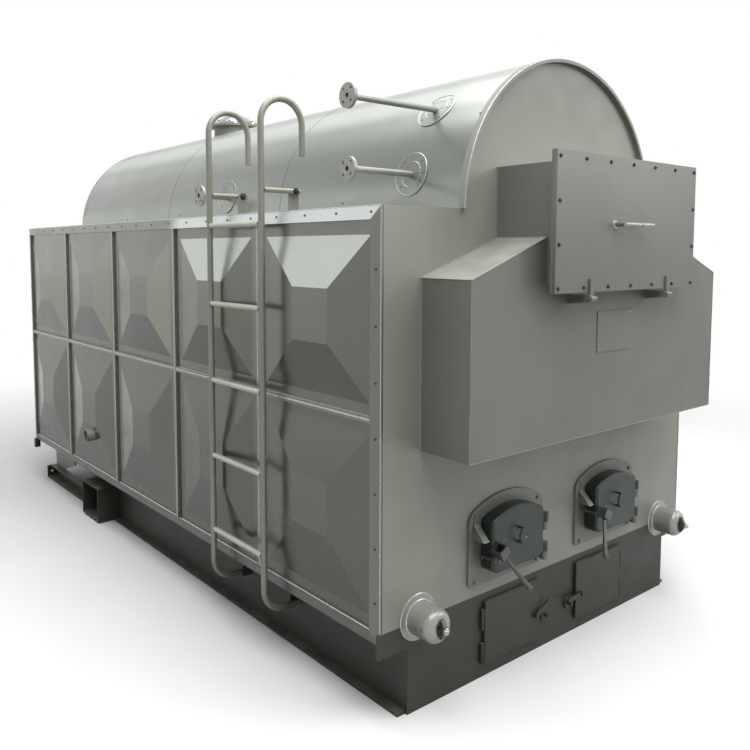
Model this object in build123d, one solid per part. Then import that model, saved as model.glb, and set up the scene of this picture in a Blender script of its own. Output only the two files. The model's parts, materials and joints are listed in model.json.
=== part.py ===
from build123d import *
import math
import os

# Horizontal fire-tube steam boiler with hand-fired grate, in millimetres.
# +Z is up, the fire doors face -Y, and the origin lies on the ground under the middle of the housing.

os.makedirs("parts", exist_ok=True)

# Housing
HOUSING_LENGTH = 4000
HOUSING_WIDTH = 2080
HOUSING_BOTTOM = 309
HOUSING_TOP = 1888
PLATE = 12
WALL_LEDGE = 16
ROOF_THICK = 28
SHEET = 6
SEAM_GAP = 0.6
SEAT_GAP = 0.3

# Embossed side covers
PANEL_COLUMNS = 5
PANEL_FOOT_RISE = 43
PANEL_HEAD_DROP = 51
PANEL_MIDDLE = 1128
EMBOSS_SIDE_MARGIN = 60
EMBOSS_END_MARGIN = 52
EMBOSS_DEPTH = 26
EMBOSS_CROWN_WIDTH = 230
EMBOSS_CROWN_HEIGHT = 210
TRIM_RIM = 4
TRIM_CREST = 10
TRIM_WIDTH = 50
BATTEN_WIDTH = 26
BATTEN_HEIGHT = 12

# Drum and its sheet jacket
ROOF_WIDTH = 403
JACKET_SHEET = 6
JACKET_SHEET_WIDTH = 1250
DRUM_LAGGING = 117
LIP_PROUD = 20
LIP_WIDTH = 14

# Manhole on the crown of the drum
MANHOLE_FROM_SEAM = 250
MANHOLE_RADIUS = 145
MANHOLE_WALL = 14
MANHOLE_RIM = 30
MANHOLE_NECK_RISE = 62
MANHOLE_COVER_THICK = 14
MANHOLE_DOME_RADIUS = 142
MANHOLE_DOME_RISE = 64

# Base
BASE_INSET = 146
BASE_END_SETBACK = 810
BASE_WALL = 10
BASE_FLANGE = 40
BASE_FLANGE_THICK = 12
FRONT_BAND_BOTTOM = 258
RAIL_END_SETBACK = 20
RAIL_HEIGHT = 90
RAIL_FLANGE = 66
RAIL_HOLE_RADIUS = 9
LEG_LENGTH = 410
LEG_END_SETBACK = 33
LEG_SLOPE_RISE = 75
LEG_FOOT_LENGTH = 170

# Air duct into the ash pit
DUCT_SETBACK = 200
DUCT_LENGTH = 270
DUCT_HEIGHT = 225

# Grate and hearth
GRATE_LENGTH = 1980
GRATE_BAR_WIDTH = 50
GRATE_BAR_GAP = 20
GRATE_BAR_HEIGHT = 40
BEARER_WIDTH = 60
BEARER_HEIGHT = 40
BEARER_COUNT = 3
BRIDGE_THICK = 230
BRIDGE_TOP = 900
HEARTH_THICK = 30

# Smoke box on the front
SMOKE_LOWER_INSET = 200
SMOKE_LOWER_BOTTOM = 995
SMOKE_SHOULDER_DROP = 258
SMOKE_LOWER_TOP_DROP = 108
SMOKE_LOWER_DEPTH = 245
SMOKE_UPPER_HALF = 435
SMOKE_UPPER_RISE = 167
SMOKE_UPPER_DROP = 282
SMOKE_UPPER_DEPTH = 300
SMOKE_FLANGE_THICK = 12
COVER_HALF = 490
COVER_DROP = 313
COVER_RISE = 202
COVER_THICK = 12
COVER_HINGE_X = 272
COVER_PIN_DROP = 24
COVER_PIN_SETOUT = 12
COVER_PIN_RADIUS = 6
COVER_PIN_HEAD_RADIUS = 9
COVER_PIN_HEAD_THICK = 4
COVER_KNUCKLE_RADIUS = 10
COVER_STRAP_WIDTH = 24
COVER_STRAP_HEIGHT = 50
COVER_STRAP_THICK = 8
COVER_LUG_THICK = 12
COVER_LUG_RADIUS = 12
COVER_LUG_ROOT_DROP = 22
COVER_HANDLE_DROP = 56
COVER_HANDLE_STUD_X = -120
COVER_HANDLE_LENGTH = 215
COVER_HANDLE_STANDOFF = 34
COVER_HANDLE_RADIUS = 7
COVER_STUD_RADIUS = 10

# Flue outlet at the back
FLUE_HALF_WIDTH = 280
FLUE_BOTTOM_DROP = 638
FLUE_HEIGHT = 320
FLUE_LENGTH = 90
FLUE_FLANGE = 45

# Fire doors
FIRE_X = 350
FIRE_FRAME_HALF = 230
FIRE_FRAME_BOTTOM = 400
FIRE_FRAME_SIDE_TOP = 690
FIRE_FRAME_APEX = 755
FIRE_FRAME_THICK = 10
FIRE_MOUTH_HALF = 135
FIRE_MOUTH_BOTTOM = 482
FIRE_MOUTH_SIDE_TOP = 650
FIRE_MOUTH_APEX = 682
FIRE_DOOR_HALF = 160
FIRE_DOOR_BOTTOM = 455
FIRE_DOOR_SIDE_TOP = 668
FIRE_DOOR_APEX = 707
FIRE_DOOR_THICK = 65
FIRE_DOOR_CORNER = 40
FIRE_DOOR_SHOULDER = 16
FIRE_DOOR_BEVEL = 9
FRAME_CORNER = 18
FRAME_SHOULDER = 60
FIRE_PIN_OFFSET = 195
FIRE_PIN_DEPTH = 50
FIRE_PIN_RADIUS = 8
FIRE_KNUCKLE_RADIUS = 15
FIRE_HINGE_FEET = (427, 556)
FIRE_FIXED_KNUCKLE = 36
FIRE_MOVING_KNUCKLE = 38
HINGE_ARM_THICK = 14
PIN_CLEARANCE = 0.08

# Fire door pull
PULL_INSET = 8
PULL_Z = 590
PULL_HALF_HEIGHT = 30
PULL_BOW = 20
PULL_STANDOFF = 26
PULL_RADIUS = 5

# Fire door latch and its keeper
LATCH_PIVOT_INSET = 12
LATCH_PIVOT_Z = 560
LATCH_PIN_RADIUS = 8
LATCH_PIN_HEAD = 13
LATCH_PIN_HEAD_THICK = 4
LATCH_BOSS_RADIUS = 15
LATCH_BOSS_THICK = 3
LATCH_CUP_WIDTH = 50
LATCH_CUP_HEIGHT = 40
LATCH_CUP_WALL = 7
LATCH_PRONG = 10
LATCH_PRONG_RADIUS = 43
LATCH_PRONG_ANGLE = 25
LATCH_TOOTH_LENGTH = 22
LATCH_TOOTH_DEPTH = 12
LATCH_TOOTH_ANGLE = 53
LATCH_TOOTH_FROM_FRONT = 30
LATCH_ROD_LENGTH = 187
LATCH_ROD_RADIUS = 7
LATCH_ROD_END_RADIUS = 9.5
LATCH_BALL_RADIUS = 13
LATCH_ROD_KICK = 21.7
LATCH_REST_LEFT = 32
LATCH_REST_RIGHT = -30
KEEPER_OFFSET = 190
KEEPER_WIDTH = 32
KEEPER_BOTTOM = 594
KEEPER_TOP = 655
KEEPER_DEPTH = 58
KEEPER_SHEET = 5
KEEPER_CHEEK = 3
KEEPER_BASE_OVER = 10

# Ash doors
ASH_X = 308
ASH_DOOR_HALF = 175
ASH_DOOR_BOTTOM = 60
ASH_DOOR_TOP = 318
ASH_DOOR_THICK = 12
ASH_DOOR_GAP = 3
ASH_MOUTH_INSET = 12
ASH_PIN_OFFSET = 10
ASH_PIN_DEPTH = 9
ASH_PIN_RADIUS = 4
ASH_KNUCKLE_RADIUS = 7.5
ASH_KNUCKLE_LENGTH = 42
ASH_HINGE_FEET = (65, 205)
ASH_ARM_THICK = 6
ASH_LATCH_INSET = 32
ASH_LATCH_Z = 170
ASH_LATCH_LENGTH = 105
ASH_LATCH_WIDTH = 22
ASH_LATCH_THICK = 8
ASH_LATCH_STANDOFF = 6
ASH_LATCH_PIN_RADIUS = 6
ASH_LATCH_PIN_HEAD = 10
ASH_LATCH_PIN_HEAD_THICK = 6
ASH_LATCH_REST_LEFT = 23
ASH_LATCH_REST_RIGHT = 0
ASH_KEEPER_X = 85
ASH_KEEPER_RADIUS = 26
ASH_KEEPER_THICK = 10
ASH_KEEPER_STUD_RADIUS = 8
ASH_KEEPER_STUD_REACH = 30
ASH_KEEPER_DROP = 6

# Header ends low on the front
HEADER_SHARE = 0.8125
HEADER_Z = 367
HEADER_RADIUS = 64
HEADER_WALL = 10
HEADER_REACH = 124
HEADER_ROUNDING = 30
HEADER_COLLAR_RADIUS = 86
HEADER_COLLAR_THICK = 8
HAND_HOLE_WIDTH = 48
HAND_HOLE_HEIGHT = 64
HAND_HOLE_LID_LAP = 2
HAND_HOLE_LID_THICK = 8
YOKE_WIDTH = 16
YOKE_LENGTH = 74
YOKE_RISE = 24
YOKE_CREST = 20
YOKE_FOOT = 7
YOKE_BOLT_RADIUS = 6
YOKE_BOLT_OVER = 8
YOKE_NUT_RADIUS = 11
YOKE_NUT_HEIGHT = 9

# Pipes from the drum
GAUGE_FROM_FRONT = 292
GAUGE_LOWER_RISE = 149
GAUGE_UPPER_DROP = 217
GAUGE_PIPE_RADIUS = 13
GAUGE_PIPE_WALL = 3
GAUGE_REACH = 315
GAUGE_FLANGE_RADIUS = 47.5
GAUGE_BOLT_CIRCLE = 65
REAR_PIPE_FROM_FRONT = 1770
REAR_PIPE_RISE = 134
REAR_PIPE_RADIUS = 16
REAR_PIPE_REACH = 163
REAR_FLANGE_RADIUS = 57.5
REAR_BOLT_CIRCLE = 85
FLANGE_THICK = 14
FLANGE_HOLE_RADIUS = 7
FLANGE_HOLES = 4
ROSETTE_RADIUS = 90
ROSETTE_THICK = 3

# Stub pipe through the left side
STUB_COLUMN = 3
STUB_COLUMN_SHARE = 0.45
STUB_Z = 570
STUB_RADIUS = 39
STUB_WALL = 4
STUB_REACH = 52

# Ladder on the left side
LADDER_NEAR = 685
LADDER_FAR = 1120
LADDER_STANDOFF = 45
LADDER_RAIL_RADIUS = 13.5
LADDER_RUNG_RADIUS = 12.5
LADDER_RUNG_DROP = 50
LADDER_RUNG_PITCH = 349
LADDER_RUNGS = 5
LADDER_HOOK_RADIUS = 101
LADDER_HOOK_RISE = 360
LADDER_HOOK_TAIL = 125
LADDER_FOOT_RADIUS = 100
LADDER_FOOT_Z = 195
LADDER_FOOT_END_INSET = 135
LADDER_STAY_RISE = 87
LADDER_STAY_RADIUS = 11
LADDER_STAY_END_INSET = 143
LADDER_TAB_INSET = 120
LADDER_TAB_WIDTH = 50
LADDER_TAB_THICK = 6
LADDER_TAB_OVER = 18
LADDER_TAB_ROUNDING = 18

# Values worked out from the sizes above
FRONT = -HOUSING_LENGTH / 2
BACK = HOUSING_LENGTH / 2
HALF = HOUSING_WIDTH / 2
PANEL_FACE = HALF - TRIM_RIM - TRIM_CREST
PANEL_FOOT = HOUSING_BOTTOM + PANEL_FOOT_RISE
PANEL_HEAD = HOUSING_TOP - PANEL_HEAD_DROP
WALL_FACE = PANEL_FACE - SHEET
BASE_HALF = HALF - BASE_INSET
BASE_INNER = BASE_HALF - BASE_WALL
WALL_INNER = BASE_INNER + WALL_LEDGE
BASE_BACK = BACK - BASE_END_SETBACK
DUCT_BACK = BASE_BACK - DUCT_SETBACK
DUCT_FRONT = DUCT_BACK - DUCT_LENGTH
INSIDE_FRONT = FRONT + PLATE
INSIDE_BACK = BACK - PLATE
WALL_TOP = HOUSING_TOP - ROOF_THICK
JACKET_RADIUS = HALF - ROOF_WIDTH
DRUM_RADIUS = JACKET_RADIUS - DRUM_LAGGING
FIRST_SEAM = FRONT + JACKET_SHEET_WIDTH
SECOND_SEAM = FIRST_SEAM + JACKET_SHEET_WIDTH
MANHOLE_Y = SECOND_SEAM + MANHOLE_FROM_SEAM
MANHOLE_RIM_Z = HOUSING_TOP + JACKET_RADIUS + MANHOLE_NECK_RISE
GRATE_TOP = HOUSING_BOTTOM + GRATE_BAR_HEIGHT
GRATE_BACK = INSIDE_FRONT + GRATE_LENGTH
FLUE_BOTTOM = HOUSING_TOP - FLUE_BOTTOM_DROP
FIRE_FRAME_FACE = FRONT - FIRE_FRAME_THICK
FIRE_FACE = FIRE_FRAME_FACE - SEAT_GAP - FIRE_DOOR_THICK
ASH_FACE = FRONT - ASH_DOOR_GAP - ASH_DOOR_THICK
HEADER_X = HALF * HEADER_SHARE
HEADER_NOSE = FRONT - HEADER_REACH
SMOKE_LOWER_HALF = HALF - SMOKE_LOWER_INSET
SMOKE_SHOULDER = HOUSING_TOP - SMOKE_SHOULDER_DROP
SMOKE_LOWER_TOP = HOUSING_TOP - SMOKE_LOWER_TOP_DROP
SMOKE_UPPER_TOP = HOUSING_TOP + SMOKE_UPPER_RISE
SMOKE_UPPER_BOTTOM = HOUSING_TOP - SMOKE_UPPER_DROP
COVER_BOTTOM = HOUSING_TOP - COVER_DROP
COVER_TOP = HOUSING_TOP + COVER_RISE
COVER_HANDLE_Z = HOUSING_TOP - COVER_HANDLE_DROP
COVER_BACK = FRONT - SMOKE_UPPER_DEPTH - SMOKE_FLANGE_THICK - SEAT_GAP
COVER_FACE = COVER_BACK - COVER_THICK
COVER_PIN_Y = COVER_FACE - COVER_PIN_SETOUT
COVER_PIN_Z = COVER_BOTTOM - COVER_PIN_DROP
GAUGE_Y = FRONT + GAUGE_FROM_FRONT
GAUGE_LOWER_Z = HOUSING_TOP + GAUGE_LOWER_RISE
GAUGE_UPPER_Z = HOUSING_TOP + JACKET_RADIUS - GAUGE_UPPER_DROP
GAUGE_FACE_X = JACKET_RADIUS + GAUGE_REACH
REAR_PIPE_Y = FRONT + REAR_PIPE_FROM_FRONT
REAR_PIPE_Z = HOUSING_TOP + REAR_PIPE_RISE
REAR_PIPE_FACE_X = JACKET_RADIUS + REAR_PIPE_REACH
COLUMN_WIDTH = HOUSING_LENGTH / PANEL_COLUMNS
STUB_Y = FRONT + (STUB_COLUMN + STUB_COLUMN_SHARE) * COLUMN_WIDTH
LADDER_X = -HALF - LADDER_STANDOFF
LADDER_NEAR_Y = FRONT + LADDER_NEAR
LADDER_FAR_Y = FRONT + LADDER_FAR
LADDER_STAY_Z = HOUSING_TOP + LADDER_STAY_RISE
LADDER_TAB_X = HALF - LADDER_TAB_INSET


def block(x0, x1, y0, y1, z0, z1):
    """Rectangular solid between three pairs of coordinates."""
    solid = Box(abs(x1 - x0), abs(y1 - y0), abs(z1 - z0))
    return Pos((x0 + x1) / 2, (y0 + y1) / 2, (z0 + z1) / 2) * solid


def rod_x(radius, x0, x1, y, z):
    """Round bar along X."""
    return Pos((x0 + x1) / 2, y, z) * Rot(0, 90, 0) * Cylinder(radius, abs(x1 - x0))


def rod_y(radius, y0, y1, x, z):
    """Round bar along Y."""
    return Pos(x, (y0 + y1) / 2, z) * Rot(90, 0, 0) * Cylinder(radius, abs(y1 - y0))


def rod_z(radius, z0, z1, x, y):
    """Round bar along Z."""
    return Pos(x, y, (z0 + z1) / 2) * Cylinder(radius, abs(z1 - z0))


def front_plane(y):
    """Sketch plane at depth y, seen from the front: sketch x is X and sketch y is Z."""
    return Plane(origin=(0, y, 0), x_dir=(1, 0, 0), z_dir=(0, -1, 0))


def side_plane(x):
    """Sketch plane at a given X: sketch x is Y and sketch y is Z."""
    return Plane(origin=(x, 0, 0), x_dir=(0, 1, 0), z_dir=(1, 0, 0))


def front_slab(sketch, y0, y1):
    """Solid from a front sketch between two depths, y0 nearer the front."""
    return extrude(front_plane(y1) * sketch, amount=y1 - y0)


def side_slab(sketch, x0, x1):
    """Solid from a side sketch between two X values."""
    return extrude(side_plane(x0) * sketch, amount=x1 - x0)


def arch(half, bottom, side_top, apex, x, corner=0, shoulder=0):
    """Door outline with straight sides, flat bottom and a low arc on top, its corners rounded."""
    left = (x - half, side_top)
    right = (x + half, side_top)
    outline = Polyline(left, (x - half, bottom), (x + half, bottom), right)
    face = make_face([*outline.edges(), *ThreePointArc(right, (x, apex), left).edges()])
    if corner:
        face = fillet(face.vertices().filter_by_position(Axis.Y, bottom, bottom), corner)
    if shoulder:
        face = fillet(face.vertices().filter_by_position(Axis.Y, side_top, side_top), shoulder)
    return face


def other_side(shape):
    """The same piece on the right side of the boiler."""
    return mirror(shape, about=Plane.YZ)


def save(name, *solids):
    """Write one named piece, which may be several solids, to its own file."""
    shape = solids[0] if len(solids) == 1 else Compound(children=[*solids])
    shape.label = name
    export_step(shape, f"parts/{name}.step")


# Base: front plate with the two ash mouths, side channels, rear wall and floor
def ash_mouth(x):
    return block(
        x - ASH_DOOR_HALF + ASH_MOUTH_INSET, x + ASH_DOOR_HALF - ASH_MOUTH_INSET,
        FRONT - ASH_DOOR_GAP, INSIDE_FRONT + ASH_DOOR_GAP,
        ASH_DOOR_BOTTOM + ASH_MOUTH_INSET, ASH_DOOR_TOP - ASH_MOUTH_INSET,
    )


def header_hole(x):
    return rod_y(HEADER_RADIUS + SEAT_GAP, FRONT - PLATE, INSIDE_FRONT + PLATE, x, HEADER_Z)


def ash_hinge_fixed(side):
    """Fixed knuckles and pins of one ash door, side -1 for the left door."""
    x = side * (ASH_X + ASH_DOOR_HALF + ASH_PIN_OFFSET)
    y = FRONT - ASH_PIN_DEPTH
    parts = []
    for foot in ASH_HINGE_FEET:
        top = foot + ASH_KNUCKLE_LENGTH
        parts.append(rod_z(ASH_KNUCKLE_RADIUS, foot, top, x, y))
        parts.append(rod_z(ASH_PIN_RADIUS, foot, top + ASH_KNUCKLE_LENGTH, x, y))
        parts.append(block(x - ASH_ARM_THICK, x + ASH_ARM_THICK, y, FRONT, foot, top))
    return parts


def ash_keeper(side):
    """Round boss on the plate with the stud that an ash door latch drops onto."""
    x = side * ASH_KEEPER_X
    z = ASH_LATCH_Z - ASH_LATCH_WIDTH / 2 - ASH_KEEPER_DROP - ASH_KEEPER_STUD_RADIUS
    boss = rod_y(ASH_KEEPER_RADIUS, FRONT - ASH_KEEPER_THICK, FRONT, x, z)
    stud = rod_y(ASH_KEEPER_STUD_RADIUS, FRONT - ASH_KEEPER_STUD_REACH, FRONT, x, z)
    return boss + stud


def base_front():
    band = block(-HALF, HALF, FRONT, INSIDE_FRONT, FRONT_BAND_BOTTOM, PANEL_FOOT)
    lower = block(-BASE_HALF, BASE_HALF, FRONT, INSIDE_FRONT, 0, FRONT_BAND_BOTTOM)
    plate = band + lower
    for side in (-1, 1):
        plate -= ash_mouth(side * ASH_X)
        plate -= header_hole(side * HEADER_X)
        plate += ash_keeper(side)
        for piece in ash_hinge_fixed(side):
            plate += piece
    return plate


def base_side():
    """Left side channel with its outward flanges."""
    web = block(-BASE_HALF, -BASE_INNER, INSIDE_FRONT, BASE_BACK, 0, HOUSING_BOTTOM)
    foot = block(-BASE_HALF - BASE_FLANGE, -BASE_HALF, INSIDE_FRONT, BASE_BACK, 0, BASE_FLANGE_THICK)
    head = block(-WALL_FACE, -BASE_HALF, INSIDE_FRONT, BASE_BACK,
                 HOUSING_BOTTOM - BASE_FLANGE_THICK, HOUSING_BOTTOM)
    return web + foot + head


def duct_bore():
    """Bore of the duct, which ends level with the side of the housing."""
    return block(-HALF - SHEET, -BASE_INNER + SHEET, DUCT_FRONT + SHEET, DUCT_BACK - SHEET,
                 BASE_FLANGE_THICK + SHEET, DUCT_HEIGHT - SHEET)


def air_duct():
    shell = block(-HALF, -BASE_HALF, DUCT_FRONT, DUCT_BACK, BASE_FLANGE_THICK, DUCT_HEIGHT)
    return shell - duct_bore()


def base_pan():
    floor = block(-BASE_INNER, BASE_INNER, INSIDE_FRONT, BASE_BACK, 0, BASE_WALL)
    rear = block(-BASE_INNER, BASE_INNER, BASE_BACK - BASE_WALL, BASE_BACK, BASE_WALL, HOUSING_BOTTOM)
    return floor + rear


def rear_rail():
    """Low channel that carries the rear of the housing, open outwards."""
    y1 = BACK - RAIL_END_SETBACK
    outer = BASE_HALF + RAIL_FLANGE
    web = block(-BASE_HALF, -BASE_INNER, BASE_BACK, y1, 0, RAIL_HEIGHT)
    foot = block(-outer, -BASE_HALF, BASE_BACK, y1, 0, BASE_FLANGE_THICK)
    head = block(-BASE_HALF - BASE_FLANGE, -BASE_HALF, BASE_BACK, y1,
                 RAIL_HEIGHT - BASE_FLANGE_THICK, RAIL_HEIGHT)
    end = block(-outer, -BASE_HALF, y1 - BASE_FLANGE_THICK, y1, 0, RAIL_HEIGHT)
    hole = rod_y(RAIL_HOLE_RADIUS, y1 - RAIL_FLANGE, y1 + RAIL_FLANGE,
                 -BASE_HALF - RAIL_FLANGE / 2, RAIL_HEIGHT / 2)
    return web + foot + head + end - hole


def rear_leg():
    y1 = BACK - LEG_END_SETBACK
    y0 = y1 - LEG_LENGTH
    outline = Polyline(
        (y0, HOUSING_BOTTOM), (y0, RAIL_HEIGHT + LEG_SLOPE_RISE), (y1 - LEG_FOOT_LENGTH, RAIL_HEIGHT),
        (y1, RAIL_HEIGHT), (y1, HOUSING_BOTTOM), close=True,
    )
    return side_slab(make_face(outline), -BASE_HALF, -BASE_INNER)


save("base_front", base_front())
save("base_side_left", base_side() - duct_bore())
save("base_side_right", other_side(base_side()))
save("base_pan", base_pan())
save("rear_rails", rear_rail(), other_side(rear_rail()))
save("rear_legs", rear_leg(), other_side(rear_leg()))
save("air_duct", air_duct())


# Housing: front and rear plates with round heads, insulated walls, roof strips and hearth
def fire_mouth(x):
    return arch(FIRE_MOUTH_HALF, FIRE_MOUTH_BOTTOM, FIRE_MOUTH_SIDE_TOP, FIRE_MOUTH_APEX, x)


def end_plate(y0, bottom):
    """End plate of the housing with the round head that closes the drum jacket."""
    body = block(-WALL_FACE, WALL_FACE, y0, y0 + PLATE, bottom, HOUSING_TOP)
    disc = rod_y(JACKET_RADIUS, y0, y0 + PLATE, 0, HOUSING_TOP)
    return body + disc


def drum_lip():
    """Thin raised edge round the drum's head on the front."""
    ring = rod_y(JACKET_RADIUS, FRONT - LIP_PROUD, FRONT, 0, HOUSING_TOP)
    ring -= rod_y(JACKET_RADIUS - LIP_WIDTH, FRONT - LIP_PROUD, FRONT, 0, HOUSING_TOP)
    below = block(-HALF, HALF, FRONT - LIP_PROUD, FRONT, PANEL_FOOT, HOUSING_TOP)
    return ring - below


def front_plate():
    plate = end_plate(FRONT, PANEL_FOOT) + drum_lip()
    for side in (-1, 1):
        plate -= front_slab(fire_mouth(side * FIRE_X), FRONT - PLATE, INSIDE_FRONT + PLATE)
        plate -= header_hole(side * HEADER_X)
    return plate


def flue_opening(grow):
    return block(-FLUE_HALF_WIDTH - grow, FLUE_HALF_WIDTH + grow, BACK - PLATE, BACK + FLUE_LENGTH,
                 FLUE_BOTTOM - grow, FLUE_BOTTOM + FLUE_HEIGHT + grow)


def rear_plate():
    plate = end_plate(INSIDE_BACK, HOUSING_BOTTOM)
    collar = flue_opening(SHEET)
    flange = flue_opening(FLUE_FLANGE)
    flange -= block(-HALF, HALF, BACK - PLATE, BACK + FLUE_LENGTH - PLATE, 0, HOUSING_TOP)
    return plate + collar + flange - flue_opening(0)


def wall():
    """Insulated left wall, from the base's flange to the roof strip."""
    return block(-WALL_FACE, -WALL_INNER, INSIDE_FRONT, INSIDE_BACK, HOUSING_BOTTOM, WALL_TOP)


def stub_bore():
    return rod_x(STUB_RADIUS - STUB_WALL, -HALF - STUB_REACH - STUB_WALL, -WALL_INNER + STUB_WALL,
                 STUB_Y, STUB_Z)


def roof_strip():
    return block(-WALL_FACE, -JACKET_RADIUS, INSIDE_FRONT, INSIDE_BACK, WALL_TOP, HOUSING_TOP)


def hearth():
    """Floor behind the grate and the brick bridge that ends the fire bed."""
    floor = block(-WALL_INNER, WALL_INNER, GRATE_BACK, INSIDE_BACK, HOUSING_BOTTOM,
                  HOUSING_BOTTOM + HEARTH_THICK)
    bridge = block(-WALL_INNER, WALL_INNER, GRATE_BACK, GRATE_BACK + BRIDGE_THICK,
                   HOUSING_BOTTOM, BRIDGE_TOP)
    return floor + bridge


def grate():
    """Fire grate: lengthwise bars on cross bearers that rest on the base's side walls."""
    pitch = GRATE_BAR_WIDTH + GRATE_BAR_GAP
    count = int((2 * BASE_INNER - GRATE_BAR_WIDTH) // pitch) + 1
    first = -pitch * (count - 1) / 2
    parts = []
    for index in range(count):
        x = first + index * pitch
        parts.append(block(x - GRATE_BAR_WIDTH / 2, x + GRATE_BAR_WIDTH / 2, INSIDE_FRONT, GRATE_BACK,
                           HOUSING_BOTTOM, GRATE_TOP))
    step = (GRATE_LENGTH - BEARER_WIDTH) / (BEARER_COUNT - 1)
    for index in range(BEARER_COUNT):
        y = INSIDE_FRONT + index * step
        parts.append(block(-BASE_INNER, BASE_INNER, y, y + BEARER_WIDTH, HOUSING_BOTTOM - BEARER_HEIGHT,
                           HOUSING_BOTTOM))
    whole = parts[0]
    return whole.fuse(*parts[1:])


save("front_plate", front_plate())
save("rear_plate", rear_plate())
save("wall_left", wall() - stub_bore())
save("wall_right", other_side(wall()))
save("roof_strips", roof_strip(), other_side(roof_strip()))
save("hearth", hearth())
save("grate", grate())


# Side covers: embossed sheets, edge trim and battens
def column_edges(index):
    return FRONT + index * COLUMN_WIDTH, FRONT + (index + 1) * COLUMN_WIDTH


def frustum(base_y, base_z, crown_y, crown_z, x, depth):
    """Raised shape on the left side: a rectangle at -x that narrows to a smaller one further out."""
    sections = []
    for (y0, y1), (z0, z1), at in ((base_y, base_z, x), (crown_y, crown_z, x + depth)):
        sketch = Pos((y0 + y1) / 2, (z0 + z1) / 2) * Rectangle(y1 - y0, z1 - z0)
        sections.append(side_plane(-at) * sketch)
    return loft(sections)


def embossed_cell(y0, y1, z0, z1):
    y_mid = (y0 + y1) / 2
    z_mid = (z0 + z1) / 2
    return frustum(
        (y0 + EMBOSS_SIDE_MARGIN, y1 - EMBOSS_SIDE_MARGIN),
        (z0 + EMBOSS_END_MARGIN, z1 - EMBOSS_END_MARGIN),
        (y_mid - EMBOSS_CROWN_WIDTH / 2, y_mid + EMBOSS_CROWN_WIDTH / 2),
        (z_mid - EMBOSS_CROWN_HEIGHT / 2, z_mid + EMBOSS_CROWN_HEIGHT / 2),
        PANEL_FACE, EMBOSS_DEPTH,
    )


def band_corner():
    """Where the base's front band passes in front of the side's lower edge."""
    return block(-HALF, -WALL_FACE, FRONT, INSIDE_FRONT, HOUSING_BOTTOM, PANEL_FOOT)


def side_cover(index):
    """One sheet of the left side with its two embossed fields."""
    y0, y1 = column_edges(index)
    sheet = block(-PANEL_FACE, -WALL_FACE, y0 + SEAM_GAP / 2, y1 - SEAM_GAP / 2, HOUSING_BOTTOM, HOUSING_TOP)
    lower = embossed_cell(y0, y1, PANEL_FOOT, PANEL_MIDDLE)
    upper = embossed_cell(y0, y1, PANEL_MIDDLE, PANEL_HEAD)
    return sheet + lower + upper - band_corner()


def side_trim():
    """Bevelled edge frame and the battens between the sheets, on the left side."""
    rim = block(-PANEL_FACE - TRIM_RIM, -PANEL_FACE, FRONT, BACK, HOUSING_BOTTOM, HOUSING_TOP)
    bevel = frustum((FRONT, BACK), (HOUSING_BOTTOM, HOUSING_TOP), (FRONT + TRIM_WIDTH, BACK - TRIM_WIDTH),
                    (PANEL_FOOT, PANEL_HEAD), PANEL_FACE + TRIM_RIM, TRIM_CREST)
    window = block(-HALF, -PANEL_FACE, FRONT + TRIM_WIDTH, BACK - TRIM_WIDTH, PANEL_FOOT, PANEL_HEAD)
    frame = rim + bevel - window - band_corner()
    outer = -PANEL_FACE - BATTEN_HEIGHT
    half_batten = BATTEN_WIDTH / 2
    for index in range(1, PANEL_COLUMNS):
        y, _ = column_edges(index)
        frame += block(outer, -PANEL_FACE, y - half_batten, y + half_batten, PANEL_FOOT, PANEL_HEAD)
    frame += block(outer, -PANEL_FACE, FRONT + TRIM_WIDTH, BACK - TRIM_WIDTH,
                   PANEL_MIDDLE - half_batten, PANEL_MIDDLE + half_batten)
    return frame


def stub_hole():
    return rod_x(STUB_RADIUS + SEAT_GAP, -HALF - STUB_REACH, -WALL_FACE + SEAT_GAP, STUB_Y, STUB_Z)


covers = [side_cover(index) for index in range(PANEL_COLUMNS)]
save("side_covers_left", *[cover - stub_hole() for cover in covers])
save("side_covers_right", *[other_side(cover) for cover in covers])
save("side_trim_left", side_trim())
save("side_trim_right", other_side(side_trim()))


# Stub pipe that opens out of the left side
def stub_pipe():
    tube = rod_x(STUB_RADIUS, -HALF - STUB_REACH, -WALL_FACE, STUB_Y, STUB_Z)
    return tube - stub_bore()


save("side_stub_pipe", stub_pipe())


# Drum, jacket sheets and manhole
def jacket_cylinder(radius, y0, y1):
    return rod_y(radius, y0, y1, 0, HOUSING_TOP)


def upper_half(shape):
    return shape - block(-HOUSING_WIDTH, HOUSING_WIDTH, FRONT - HALF, BACK + HALF, 0, HOUSING_TOP)


def manhole_column(radius, z0, z1):
    return rod_z(radius, z0, z1, 0, MANHOLE_Y)


def pipe_hole(radius, y, z):
    """Round way through the left of the jacket for a level pipe."""
    return rod_x(radius + SEAT_GAP, -HALF, 0, y, z)


def jacket_sheet(y0, y1):
    """One sheet of the jacket, cut out round the manhole and round each pipe that passes through it."""
    shell = jacket_cylinder(JACKET_RADIUS, y0, y1) - jacket_cylinder(JACKET_RADIUS - JACKET_SHEET, y0, y1)
    sheet = upper_half(shell) - manhole_column(MANHOLE_RADIUS + SEAT_GAP, HOUSING_TOP, MANHOLE_RIM_Z)
    sheet -= pipe_hole(GAUGE_PIPE_RADIUS, GAUGE_Y, GAUGE_LOWER_Z)
    sheet -= pipe_hole(GAUGE_PIPE_RADIUS, GAUGE_Y, GAUGE_UPPER_Z)
    return sheet - pipe_hole(REAR_PIPE_RADIUS, REAR_PIPE_Y, REAR_PIPE_Z)


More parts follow.
